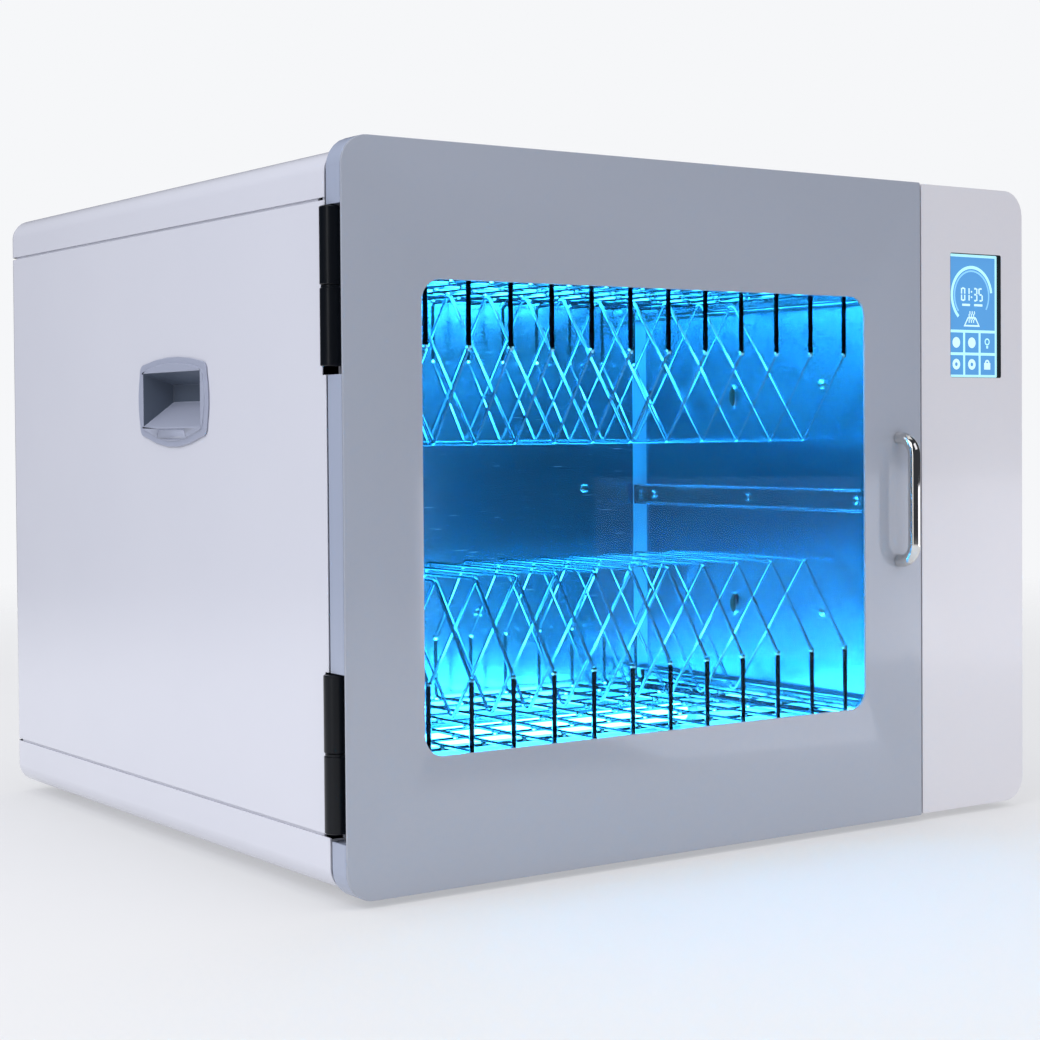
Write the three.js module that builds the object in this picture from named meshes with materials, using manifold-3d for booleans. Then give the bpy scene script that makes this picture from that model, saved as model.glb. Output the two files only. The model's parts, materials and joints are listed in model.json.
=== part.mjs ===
// UV sterilizer cabinet: a white cased steriliser with a glazed door, a control column and two wire tool racks.
// Millimetres, +Z up, front towards -Y. The origin is at the centre of the footprint, on the floor.
// Pieces are placed in case coordinates: x from the left side face, y from the door's face, z from the floor.
import * as THREE from "three";
import { mergeVertices } from "three/addons/utils/BufferGeometryUtils.js";
import Module from "manifold-3d";

const wasm = await Module();
wasm.setup();

// Overall sizes
const caseWidth = 642;
const caseDepth = 578; // door face to back panel
const doorHeight = 500;

// Door and control column
const doorAboveFloor = 5;
const doorThickness = 20;
const doorCorner = 20; // radius of the free corners of door and column
const columnWidth = 116;
const doorGap = 1.8; // between the door and the column
const doorFaceThickness = 2;
const doorWall = 2.6;
const windowSideBorder = 60.6;
const windowTopBorder = 92;
const windowBottomBorder = 90;
const windowCorner = 15;
const glassThickness = 4;
const glassLap = 25; // glass behind the face, on each side of the window
const wellMargin = 20; // the frame behind the glass opens this much wider than the window
const sealWidth = 9;
const sealStandOff = 1; // chamber mouth to the seal
const linerThickness = 1.2;

// Case
const roofBelowDoor = 7.5; // the roof lies this far under the door's top edge
const floorAboveDoor = 4; // the case's underside lies this far over the door's bottom edge
const caseFront = 22.5;
const caseWall = 1.2;
const caseCorner = 16;
const rearBevel = 9;
const topCoverHeight = 33;
const baseCoverHeight = 37;
const seamGap = 1.8;
const lipDepth = 6;
const lipSheet = 2.3;
const footRadius = 14;
const footInset = 52;
const frameThickness = 2;
const frameFront = 25;

// Chamber
const chamberLeft = 34;
const chamberRightInset = 24; // from the door's right edge
const chamberFloorInset = 45; // above the door's bottom edge
const chamberCeilingInset = 47; // below the door's top edge
const chamberBack = 328;
const linerWall = 0.8;

// Racks and their rails
const dividerCount = 13;
const dividerMargin = 18.2; // chamber wall to the first divider
const wireRadius = 1.6;
const rackFront = 40;
const rackFromBack = 14; // chamber's back wall to the racks
const rackBaseInset = 38; // chamber floor to the lower rack's base wires
const rackHeight = 117;
const postHeight = 50;
const shoulderDepth = 47; // how far the slanted shoulder leans inwards
const crossWireCount = 8;
const railHeight = 18;
const railDepth = 11;
const railSheet = 1.5;
const runnerWidth = 5;
const runnerClearance = 1.2;

// Lamps
const tubeRadius = 8;
const tubeFromWall = 16; // tube axis to chamber floor or ceiling
const tubeSpacing = 130;
const lampHolderLength = 13;

// Hinges
const hingeAxisX = 3;
const hingeAxisY = 18;
const barrelRadius = 8.3;
const barrelClearance = 1;
const liftRoom = 5.5; // free height under the hinge in the door's notch
const knuckleLength = 51;
const knuckleGap = 2;
const hingePinRadius = 3;
const leafLength = 19;
const leafThickness = 2;
const hingeFromEnd = 46; // door edge to the lower end of the bottom hinge and the upper end of the top hinge

// Pull handle
const handleFromEdge = 25; // post centres to the door's right edge
const handlePitch = 96;
const handleReach = 17.5; // door face to the grip's centre line
const handleRadius = 4.85;
const handleBend = 14;
const handleAboveMiddle = 1; // grip's middle over the door's middle
const screwRadius = 2.5;
const screwHeadRadius = 4.5;
const screwHeadHeight = 3;
const bossRadius = 9;

// Screen
const screenWidth = 58.6;
const screenHeight = 99.6;
const screenFromRight = 24.9;
const screenBelowTop = 53.4;
const screenDepth = 4.6; // glass behind the fascia's face
const fasciaFront = 0.6; // the fascia lies this far behind the door's face
const fasciaWall = 2.4;

// Carry handles
const gripFront = 192;
const gripLength = 119;
const gripHeight = 67;
const gripBelowSeam = 95.8; // top seam to the bezel's highest point
const gripProud = 2.4;
const gripStep = 1.2; // thickness of the flange under the raised part of the bezel
const gripStepInset = 4.5;
const gripCorner = 9;
const gripSideBow = 2.5; // how far each edge of the bezel bows outwards
const gripTopBow = 4.2;
const gripLowBow = 7.5;
const pocketDepth = 22;
const pocketLength = 98;
const pocketSill = 14; // bezel's lowest point to the pocket's sill
const pocketHead = 10.7; // bezel's highest point to the pocket's upper edge
const pocketDraft = 3;
const pocketRise = 20; // the pocket's floor climbs this much on its way in
const pocketFall = 9;
const tubWall = 2.5;

// Back
const fanRadius = 38;
const fanThickness = 25;
const guardProud = 2.6;
const ventCount = 9;
const ventPitch = 11;
const ventWidth = 4;
const ventHeight = 60;
const inletWidth = 28;
const inletHeight = 48;
const switchTravelGap = 0.6;
const switchTilt = (7 * Math.PI) / 180; // the rocker rests pressed in at one end

// Door safety switch
const plungerRadius = 2.2;
const plungerTravel = 3;

const gap = 0.3; // between pieces that touch

// Places worked out from the sizes above
const doorWidth = caseWidth - columnWidth - doorGap;
const doorTop = doorAboveFloor + doorHeight;
const caseBottom = doorAboveFloor + floorAboveDoor;
const caseTop = doorTop - roofBelowDoor;
const topSeam = caseTop - topCoverHeight;
const baseSeam = caseBottom + baseCoverHeight;
const columnLeft = doorWidth + doorGap;
const chamberRight = doorWidth - chamberRightInset;
const chamberFloor = doorAboveFloor + chamberFloorInset;
const chamberCeiling = doorTop - chamberCeilingInset;
const chamberMiddleX = (chamberLeft + chamberRight) / 2;
const window = {
  left: windowSideBorder,
  right: doorWidth - windowSideBorder,
  bottom: doorAboveFloor + windowBottomBorder,
  top: doorTop - windowTopBorder,
};
const rackBack = chamberBack - rackFromBack;
const lowerRackBase = chamberFloor + rackBaseInset;
const upperRackBase = chamberCeiling - rackBaseInset;
const middleRail = (lowerRackBase + upperRackBase) / 2;
const lowerHinge = doorAboveFloor + hingeFromEnd - 2;
const upperHinge = doorTop - hingeFromEnd - 2 * knuckleLength - knuckleGap;
const lampRows = [-0.5, 0.5].map((k) => (frameFront + chamberBack) / 2 + k * tubeSpacing);
const gripTop = topSeam - gripBelowSeam;
const gripMiddle = gripFront + gripLength / 2;
const pocket = {
  front: gripMiddle - pocketLength / 2,
  back: gripMiddle + pocketLength / 2,
  low: gripTop - gripHeight + pocketSill,
  high: gripTop - pocketHead,
};

// ---- Solids -------------------------------------------------------------------------------------------------

function solidFrom(geometry) {
  const bare = geometry.index ? geometry.toNonIndexed() : geometry.clone();
  for (const name of Object.keys(bare.attributes)) {
    if (name !== "position") bare.deleteAttribute(name);
  }
  const merged = mergeVertices(bare, 1e-4);
  const triVerts = new Uint32Array(merged.index.array);
  const vertProperties = merged.attributes.position.array;
  return new wasm.Manifold(new wasm.Mesh({ numProp: 3, vertProperties, triVerts }));
}

function geometryFrom(solid) {
  const mesh = solid.getMesh();
  const geometry = new THREE.BufferGeometry();
  geometry.setAttribute("position", new THREE.BufferAttribute(new Float32Array(mesh.vertProperties), 3));
  geometry.setIndex(new THREE.BufferAttribute(new Uint32Array(mesh.triVerts), 1));
  const flat = geometry.toNonIndexed();
  flat.computeVertexNormals();
  return flat;
}

const joined = (...parts) => geometryFrom(parts.map(solidFrom).reduce((a, b) => a.add(b)));
const trimmed = (base, ...tools) =>
  geometryFrom(tools.map(solidFrom).reduce((a, b) => a.subtract(b), solidFrom(base)));
const common = (a, b) => geometryFrom(solidFrom(a).intersect(solidFrom(b)));

// ---- Basic shapes -------------------------------------------------------------------------------------------

function block(x0, x1, y0, y1, z0, z1) {
  const geometry = new THREE.BoxGeometry(x1 - x0, y1 - y0, z1 - z0);
  return geometry.translate((x0 + x1) / 2, (y0 + y1) / 2, (z0 + z1) / 2);
}

// A block whose far face, along x, is smaller than its near face by taper on each side.
function taperedBlock(x0, x1, y0, y1, z0, z1, taperY, taperLow, taperHigh) {
  const geometry = block(x0, x1, y0, y1, z0, z1);
  const position = geometry.attributes.position;
  const middle = (x0 + x1) / 2;
  for (let i = 0; i < position.count; i++) {
    if (position.getX(i) < middle) continue;
    const towardsHigh = position.getZ(i) > (z0 + z1) / 2;
    position.setY(i, position.getY(i) + (position.getY(i) < (y0 + y1) / 2 ? taperY : -taperY));
    position.setZ(i, position.getZ(i) + (towardsHigh ? -taperHigh : taperLow));
  }
  return geometry;
}

// A rectangle in x and z with its own radius at each corner.
function outline({ left, right, bottom, top }, { lowLeft = 0, lowRight = 0, highRight = 0, highLeft = 0 }) {
  const shape = new THREE.Shape();
  shape.moveTo(left + lowLeft, bottom);
  shape.lineTo(right - lowRight, bottom);
  if (lowRight) shape.absarc(right - lowRight, bottom + lowRight, lowRight, -Math.PI / 2, 0);
  shape.lineTo(right, top - highRight);
  if (highRight) shape.absarc(right - highRight, top - highRight, highRight, 0, Math.PI / 2);
  shape.lineTo(left + highLeft, top);
  if (highLeft) shape.absarc(left + highLeft, top - highLeft, highLeft, Math.PI / 2, Math.PI);
  shape.lineTo(left, bottom + lowLeft);
  if (lowLeft) shape.absarc(left + lowLeft, bottom + lowLeft, lowLeft, Math.PI, Math.PI * 1.5);
  return shape;
}

const allCorners = (r) => ({ lowLeft: r, lowRight: r, highRight: r, highLeft: r });
const grown = (b, by) => ({ left: b.left - by, right: b.right + by, bottom: b.bottom - by, top: b.top + by });

// An outline in x and z, given thickness from y0 to y1.
function slab(shape, y0, y1, curveSegments = 3) {
  const geometry = new THREE.ExtrudeGeometry(shape, { depth: y1 - y0, bevelEnabled: false, curveSegments });
  return geometry.rotateX(Math.PI / 2).translate(0, y1, 0);
}

// The same with the far edge, at y1, bevelled by a quarter round.
function roundedSlab(bounds, corner, y0, y1, bevel) {
  const geometry = new THREE.ExtrudeGeometry(outline(grown(bounds, -bevel), allCorners(corner - bevel)), {
    depth: y1 - y0,
    bevelThickness: bevel,
    bevelSize: bevel,
    bevelSegments: 3,
    curveSegments: 3,
  });
  const whole = geometry.rotateX(Math.PI / 2).translate(0, y1 - bevel, 0);
  return common(whole, block(bounds.left - 1, bounds.right + 1, y0, y1 + 1, bounds.bottom - 1, bounds.top + 1));
}

function rod(radius, length, sides = 16) {
  return new THREE.CylinderGeometry(radius, radius, length, sides);
}

const rodAlongX = (radius, x0, x1, y, z, sides) =>
  rod(radius, x1 - x0, sides).rotateZ(-Math.PI / 2).translate((x0 + x1) / 2, y, z);
const rodAlongY = (radius, y0, y1, x, z, sides) =>
  rod(radius, y1 - y0, sides).translate(x, (y0 + y1) / 2, z);
const rodAlongZ = (radius, z0, z1, x, y, sides) =>
  rod(radius, z1 - z0, sides).rotateX(Math.PI / 2).translate(x, y, (z0 + z1) / 2);

// Turns an extrusion whose section was drawn as y across and z up, so that it runs along x.
function alongX(geometry) {
  const [x, y, z] = [new THREE.Vector3(1, 0, 0), new THREE.Vector3(0, 1, 0), new THREE.Vector3(0, 0, 1)];
  return geometry.applyMatrix4(new THREE.Matrix4().makeBasis(y, z, x));
}

// ---- Materials ----------------------------------------------------------------------------------------------

const finish = (color, roughness, metalness = 0, extra = {}) => ({ color, roughness, metalness, ...extra });
const finishes = {
  whiteEnamel: finish(0xd6d8e4, 0.25),
  doorGrey: finish(0x9aa0b2, 0.2),
  doorWhite: finish(0xc3c9dc, 0.3),
  columnWhite: finish(0xd8d8e0, 0.3),
  carryGrey: finish(0xa2a8c2, 0.45),
  stainless: finish(0x9fc4d8, 0.3, 0.9),
  chrome: finish(0xdadde2, 0.08, 1),
  blackSteel: finish(0x0e141a, 0.35, 0.4),
  glass: finish(0xbfe6f2, 0.03, 0, { transparent: true, opacity: 0.3 }),
  lampGlass: finish(0xbff2ff, 0.1, 0, { emissive: 0x49c8ff, emissiveIntensity: 0.8 }),
  ceramic: finish(0xece8df, 0.5),
  aluminium: finish(0xb9bec4, 0.25, 0.9),
  rubber: finish(0x1b1c1f, 0.85),
  blackPlastic: finish(0x15171b, 0.4),
  screen: finish(0x6aa8f0, 0.15, 0, { emissive: 0x3a78c8, emissiveIntensity: 0.6 }),
  board: finish(0x1f5a3a, 0.5),
  zinc: finish(0x9a9ea3, 0.4, 0.8),
};

const cabinet = new THREE.Group();

function add(name, geometry, material) {
  const mesh = new THREE.Mesh(geometry, new THREE.MeshStandardMaterial(finishes[material]));
  mesh.name = name;
  cabinet.add(mesh);
  return mesh;
}

// ---- Case: covers and panels --------------------------------------------------------------------------------

const caseBounds = { left: 0, right: caseWidth, bottom: caseBottom, top: caseTop };

// Space cut out of the case and the door round each hinge barrel, open towards the side and up to the door's face.
const notchRight = hingeAxisX + barrelRadius + barrelClearance;
const notchBottom = (bottom) => bottom - liftRoom;
const notchTop = (bottom) => bottom + 2 * knuckleLength + knuckleGap + barrelClearance;
const notchBack = hingeAxisY + barrelRadius + barrelClearance;
const hingeClearance = (bottom) =>
  block(-20, notchRight, doorFaceThickness, notchBack, notchBottom(bottom), notchTop(bottom));
const hingeClearances = [hingeClearance(lowerHinge), hingeClearance(upperHinge)];

function caseShell() {
  const outer = roundedSlab(caseBounds, caseCorner, caseFront, caseDepth, rearBevel);
  const inside = grown(caseBounds, -caseWall);
  const inner = roundedSlab(inside, caseCorner - caseWall, caseFront - 1, caseDepth - caseWall,
    rearBevel - caseWall);
  return trimmed(outer, inner);
}

const shell = caseShell();
const far = 2000;

// A lip that reaches from a cover behind the panels and closes the seam from inside.
function seamLip(seam, direction) {
  const reach = (from, to) => [Math.min(from, to), Math.max(from, to)];
  const [hookLow, hookHigh] = reach(seam + direction * seamGap, seam + direction * (seamGap + 4));
  const [lipLow, lipHigh] = reach(seam - direction * lipDepth, seam + direction * (seamGap + 4));
  const innerInset = caseWall + lipSheet;
  const front = frameFront + 8;
  const ring = (inset, low, high) => trimmed(
    block(inset, caseWidth - inset, front, caseDepth - inset, low, high),
    block(innerInset, caseWidth - innerInset, front - 1, caseDepth - innerInset, low - 1, high + 1),
  );
  const straight = block(0, caseWidth, 0, caseDepth - rearBevel - 3, 0, far);
  const back = block(caseCorner + 4, caseWidth - caseCorner - 4, 0, caseDepth, 0, far);
  const region = joined(straight, back);
  return common(joined(ring(caseWall - 0.4, hookLow, hookHigh), ring(caseWall + gap, lipLow, lipHigh)), region);
}

function covers() {
  const above = block(-far, far, -far, far, topSeam + seamGap / 2, far);
  const below = block(-far, far, -far, far, -far, baseSeam - seamGap / 2);
  add("top_cover", joined(common(shell, above), seamLip(topSeam, 1)), "whiteEnamel");
  add("base_cover", joined(common(shell, below), seamLip(baseSeam, -1)), "whiteEnamel");
}

const cornerReturn = rearBevel + 6; // side panels wrap the rear corner by this much
const panelLow = baseSeam + seamGap / 2;
const panelHigh = topSeam - seamGap / 2;

function sidePanels() {
  const around = tubWall + gap;
  const [y0, y1] = [pocket.front - around, pocket.back + around];
  const hole = block(-30, 30, y0, y1, pocket.low - around, pocket.high + around);
  const leftRegion = block(-1, cornerReturn, -far, far, panelLow, panelHigh);
  const left = trimmed(common(shell, leftRegion), hole, ...hingeClearances);
  add("left_side_panel", left, "whiteEnamel");
  const rightRegion = block(caseWidth - cornerReturn, caseWidth + 1, -far, far, panelLow, panelHigh);
  const right = trimmed(common(shell, rightRegion), hole.clone().translate(caseWidth, 0, 0));
  add("right_side_panel", right, "whiteEnamel");
}

const fan = { x: caseWidth * 0.36, z: (caseBottom + caseTop) / 2 + 60 };
const inlet = { x: caseWidth - 80, z: baseSeam + 62 };
const switchZ = inlet.z + inletHeight / 2 + 26;

function backPanel() {
  const region = block(cornerReturn + gap, caseWidth - cornerReturn - gap, caseDepth - caseWall - 1, caseDepth + 1,
    panelLow, panelHigh);
  const through = [caseDepth - 10, caseDepth + 5];
  const cuts = [
    rodAlongY(fanRadius, through[0], through[1], fan.x, fan.z, 32),
    block(inlet.x - inletWidth / 2, inlet.x + inletWidth / 2, ...through,
      inlet.z - inletHeight / 2, inlet.z + inletHeight / 2),
    block(inlet.x - 10, inlet.x + 10, ...through, switchZ - 14, switchZ + 14),
  ];
  const ventLow = baseSeam + 25;
  for (let i = 0; i < ventCount; i++) {
    const x = fan.x + (i - (ventCount - 1) / 2) * ventPitch;
    cuts.push(block(x - ventWidth / 2, x + ventWidth / 2, ...through, ventLow, ventLow + ventHeight));
  }
  add("back_panel", trimmed(common(shell, region), ...cuts), "whiteEnamel");
}

const screen = {
  left: caseWidth - screenFromRight - screenWidth,
  right: caseWidth - screenFromRight,
  bottom: doorTop - screenBelowTop - screenHeight,
  top: doorTop - screenBelowTop,
};
const sealOuterX = chamberRight + sealStandOff + sealWidth;
const latchX = (sealOuterX + doorWidth - doorWall) / 2; // the strip between the seal and the door's edge
const plunger = { x: latchX, z: doorAboveFloor + doorHeight * 0.62 };
const magnet = { x: latchX, z: doorAboveFloor + doorHeight * 0.5, halfWidth: 4, halfHeight: 14 };

// The magnet and its striker face each other across the door gap.
const latchBlock = (y0, y1) => block(magnet.x - magnet.halfWidth, magnet.x + magnet.halfWidth, y0, y1,
  magnet.z - magnet.halfHeight, magnet.z + magnet.halfHeight);

function frontFrame() {
  const bounds = grown(caseBounds, -(caseWall + gap));
  const corners = allCorners(caseCorner - caseWall - gap);
  const plate = slab(outline(bounds, corners), frameFront, frameFront + frameThickness);
  const mouth = block(chamberLeft, chamberRight, 0, 60, chamberFloor, chamberCeiling);
  const screenHole = block(screen.left - 6, screen.right + 6, 0, 60, screen.bottom - 6, screen.top + 6);
  const plungerHole = rodAlongY(plungerRadius + gap, 0, 60, plunger.x, plunger.z, 12);
  add("front_frame", trimmed(plate, mouth, screenHole, plungerHole, ...hingeClearances), "whiteEnamel");
}

function feet() {
  const [front, rear] = [caseFront + footInset, caseDepth - footInset];
  const [left, right] = [footInset, caseWidth - footInset];
  const corners = [["front_left", left, front], ["front_right", right, front],
    ["rear_left", left, rear], ["rear_right", right, rear]];
  const height = caseBottom - gap;
  const profile = [[0, 0], [footRadius - 2.5, 0], [footRadius, 2.5], [footRadius - 1, height], [0, height]];
  for (const [place, x, y] of corners) {
    const foot = new THREE.LatheGeometry(profile.map(([r, z]) => new THREE.Vector2(r, z)), 16);
    add(`foot_${place}`, foot.rotateX(Math.PI / 2).translate(x, y, 0), "rubber");
  }
}

// ---- Chamber ------------------------------------------------------------------------------------------------

function chamber() {
  const front = frameFront + frameThickness + gap;
  const outer = block(chamberLeft - linerWall, chamberRight + linerWall, front, chamberBack + linerWall,
    chamberFloor - linerWall, chamberCeiling + linerWall);
  const inner = block(chamberLeft, chamberRight, front - 1, chamberBack, chamberFloor, chamberCeiling);
  const fanPort = rodAlongY(12, chamberBack - 5, chamberBack + 5, fan.x, middleRail, 16);
  add("chamber_liner", trimmed(outer, inner, fanPort), "stainless");
}

const rowName = (z) => (z > middleRail ? "upper" : "lower");

// A reflector of folded sheet with a ridge between the tubes; up is +1 on the chamber floor and -1 on its ceiling.
function lampTray(surface, up) {
  const name = rowName(surface);
  const z = (h) => surface + up * h;
  const [y0, y1] = [lampRows[0] - 55, lampRows[1] + 40];
  const ridge = (y0 + y1) / 2 + 7;
  const shape = new THREE.Shape();
  const points = [[y0, gap], [y1, gap], [y1, 9], [y1 - 1.5, 9], [y1 - 1.5, 1.8], [ridge + 14, 1.8], [ridge, 12],
    [ridge - 14, 1.8], [y0 + 1.5, 1.8], [y0 + 1.5, 9], [y0, 9]];
  shape.setFromPoints((up > 0 ? points : points.reverse()).map(([y, h]) => new THREE.Vector2(y, z(h))));
  const [x0, x1] = [chamberLeft + gap, chamberRight - gap];
  const length = x1 - x0 - 2 * (lampHolderLength + gap);
  const sheet = alongX(new THREE.ExtrudeGeometry(shape, { depth: length, bevelEnabled: false }));
  add(`${name}_lamp_tray`, sheet.translate(x0 + lampHolderLength + gap, 0, 0), "aluminium");
  const axisZ = z(tubeFromWall);
  const [low, high] = [z(gap), z(tubeFromWall + tubeRadius + 2)].sort((a, b) => a - b);
  for (const [side, from] of [["left", x0], ["right", x1 - lampHolderLength]]) {
    const body = block(from, from + lampHolderLength, lampRows[0] - 15, lampRows[1] + 15, low, high);
    const inwards = side === "left" ? [from + lampHolderLength - 6, from + 20] : [from - 8, from + 6];
    const sockets = lampRows.map((y) => rodAlongX(tubeRadius + gap, ...inwards, y, axisZ, 16));
    add(`${name}_lampholder_${side}`, trimmed(body, ...sockets), "ceramic");
  }
  lampRows.forEach((y, i) => {
    const end = x0 + lampHolderLength - 6 + gap;
    const half = (x1 + x0) / 2 - end;
    const [cap, neck] = [tubeRadius, tubeRadius - 0.8];
    const profile = [[0, -half], [cap, -half], [cap, -half + 14], [neck, -half + 15],
      [neck, half - 15], [cap, half - 14], [cap, half], [0, half]];
    const tube = new THREE.LatheGeometry(profile.map(([r, h]) => new THREE.Vector2(r, h)), 12);
    add(`${name}_uv_tube_${i + 1}`, tube.rotateZ(-Math.PI / 2).translate(chamberMiddleX, y, axisZ), "lampGlass");
  });
}

// ---- Rails and racks ----------------------------------------------------------------------------------------

function rail(name, z, side) {
  const wall = side === "left" ? chamberLeft + gap : chamberRight - gap;
  const inward = side === "left" ? 1 : -1;
  const across = (from, to) => [wall + inward * from, wall + inward * to].sort((a, b) => a - b);
  const half = railHeight / 2;
  const [y0, y1] = [frameFront + 7, chamberBack - 4];
  const channel = trimmed(block(...across(0, railDepth), y0, y1, z - half, z + half),
    block(...across(railSheet, railDepth + 1), y0 - 1, y1 - 8, z - half + railSheet, z + half - railSheet));
  add(name, channel, "stainless");
}

// One upright divider as a frame of square wire in the y-z plane: a hexagon with a V brace inside it.
function divider(x, z) {
  const [y0, y1] = [rackFront, rackBack];
  const middle = (y0 + y1) / 2;
  const wireWidth = 2 * wireRadius;
  const across = wireWidth * 1.2; // a slanted wire's width measured along y
  const [shoulder0, shoulder1] = [y0 + shoulderDepth, y1 - shoulderDepth];
  const rise = rackHeight - wireRadius;
  const hexagon = [[y0, -wireRadius], [y1, -wireRadius], [y1, postHeight], [shoulder1, rise + wireWidth],
    [shoulder0, rise + wireWidth], [y0, postHeight]];
  const sideHole = [[wireWidth, wireRadius], [middle - y0 - across, wireRadius],
    [shoulderDepth + wireRadius, rise - across], [wireWidth, postHeight]];
  const side = (flip) => sideHole.map(([dy, h]) => [flip ? y1 - dy : y0 + dy, h]);
  const top = [[shoulder0 + across * 1.4, rise], [shoulder1 - across * 1.4, rise],
    [middle, wireRadius + across * 1.2]];
  const plate = (points, from, to) => {
    const shape = new THREE.Shape(points.map(([y, h]) => new THREE.Vector2(y, z(h))));
    const extrusion = new THREE.ExtrudeGeometry(shape, { depth: to - from, bevelEnabled: false });
    return alongX(extrusion).translate(from, 0, 0);
  };
  const holes = [side(false), side(true), top].map((points) => plate(points, x - 2 * wireWidth, x + 2 * wireWidth));
  return trimmed(plate(hexagon, x - wireRadius, x + wireRadius), ...holes);
}

// A welded rack: a base grid between two runner bars, and a row of upright dividers.
// up is +1 for the lower rack and -1 for the upper one, which hangs upside down.
function rack(name, base, up) {
  const z = (h) => base + up * h;
  const parts = [];
  const runnerHalf = railHeight / 2 - railSheet - runnerClearance;
  const runnerIn = gap + railSheet + 1.5;
  const runners = [chamberLeft + runnerIn, chamberRight - runnerIn - runnerWidth];
  for (const x of runners) {
    parts.push(block(x, x + runnerWidth, rackFront, rackBack, base - runnerHalf, base + runnerHalf));
  }
  const crossHeights = [z(-wireRadius + 0.8), z(-3 * wireRadius + 0.8)].sort((a, b) => a - b);
  for (let i = 0; i < crossWireCount; i++) {
    const y = rackFront + wireRadius + (i / (crossWireCount - 1)) * (rackBack - rackFront - 2 * wireRadius);
    const half = wireRadius * (i % (crossWireCount - 1) ? 1 : 0.9);
    parts.push(block(runners[0] + 1, runners[1] + runnerWidth - 1, y - half, y + half, ...crossHeights));
  }
  const pitch = (chamberRight - chamberLeft - 2 * dividerMargin) / (dividerCount - 1);
  for (let i = 0; i < dividerCount; i++) {
    parts.push(divider(chamberLeft + dividerMargin + i * pitch, z));
  }
  add(name, joined(...parts), "chrome");
}

// ---- Door ---------------------------------------------------------------------------------------------------

const doorBounds = { left: 0, right: doorWidth, bottom: doorAboveFloor, top: doorTop };
const doorOutline = (inset) => outline(grown(doorBounds, -inset),
  { lowLeft: doorCorner - inset, highLeft: doorCorner - inset, lowRight: 1.5, highRight: 1.5 });
const windowOutline = (margin) => outline(grown(window, margin), allCorners(windowCorner + margin));
const doorLinerFront = doorThickness - linerThickness - gap;
const handleX = doorWidth - handleFromEdge;
const handleMiddle = doorAboveFloor + doorHeight / 2 + handleAboveMiddle;
const handlePosts = [handleMiddle - handlePitch / 2, handleMiddle + handlePitch / 2];
const screwHeadFront = doorLinerFront - gap - screwHeadHeight - gap;

const leafPocket = (bottom) => block(-1, hingeAxisX + leafLength + 1, hingeAxisY - 1.3, doorThickness + 1,
  bottom + knuckleLength + knuckleGap - 1, notchTop(bottom));
const hingeCuts = [...hingeClearances, leafPocket(lowerHinge), leafPocket(upperHinge)];

// The door's edge walls, the surround that holds the pane, the hinge notches' walls and the pull's bosses.
function doorFrame(frameStart, glassBack, screwHoles) {
  const seatMargin = glassLap + 1;
  const plateBack = glassBack + 4;
  const notchWall = (bottom) => block(1, notchRight + doorWall, frameStart, doorLinerFront - gap,
    notchBottom(bottom) - doorWall, notchTop(bottom) + doorWall);
  const surround = slab(windowOutline(seatMargin + 4), 0, doorThickness + 2);
  const cavity = trimmed(slab(doorOutline(doorWall), plateBack, doorThickness + 1), surround);
  const tray = trimmed(slab(doorOutline(0), frameStart, doorThickness), cavity);
  const bosses = handlePosts.map((z) => rodAlongY(bossRadius, frameStart, screwHeadFront - gap, handleX, z, 16));
  const solid = joined(tray, notchWall(lowerHinge), notchWall(upperHinge), ...bosses);
  const well = slab(windowOutline(wellMargin), 0, doorThickness + 5);
  const seat = slab(windowOutline(seatMargin), 0, glassBack + gap);
  const linerRebate = slab(windowOutline(seatMargin + 5), doorLinerFront - gap, doorThickness + 1);
  return trimmed(solid, well, seat, linerRebate, ...screwHoles, ...hingeCuts);
}

function door() {
  const frameStart = doorFaceThickness + gap;
  const glassBack = frameStart + glassThickness;
  const screwHoles = handlePosts.map((z) => rodAlongY(screwRadius + gap, -1, doorThickness + 5, handleX, z, 12));
  const windowHole = slab(windowOutline(0), -1, doorFaceThickness + 1);
  add("door_face", trimmed(slab(doorOutline(0), 0, doorFaceThickness), windowHole, ...screwHoles), "doorGrey");
  add("door_frame", doorFrame(frameStart, glassBack, screwHoles), "doorWhite");
  add("window_glass", slab(windowOutline(glassLap), frameStart + gap, glassBack), "glass");
  const linerBack = doorLinerFront + linerThickness;
  const linerHole = slab(windowOutline(wellMargin + 1), 0, doorThickness + 5);
  const linerSheet = slab(doorOutline(doorWall + gap), doorLinerFront, linerBack);
  add("door_liner", trimmed(linerSheet, linerHole, ...hingeCuts), "stainless");
  add("magnet_striker", latchBlock(linerBack + gap, doorThickness + 2), "zinc");
  const [sealStart, sealEnd] = [linerBack + gap, frameFront - gap];
  const mouth = { left: chamberLeft, right: chamberRight, bottom: chamberFloor, top: chamberCeiling };
  const sealIn = grown(mouth, sealStandOff);
  const sealOuter = slab(outline(grown(sealIn, sealWidth), allCorners(10)), sealStart, sealEnd, 2);
  const sealInner = slab(outline(sealIn, allCorners(4)), sealStart - 1, sealEnd + 1, 2);
  add("door_seal", trimmed(sealOuter, sealInner), "rubber");
}

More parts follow.
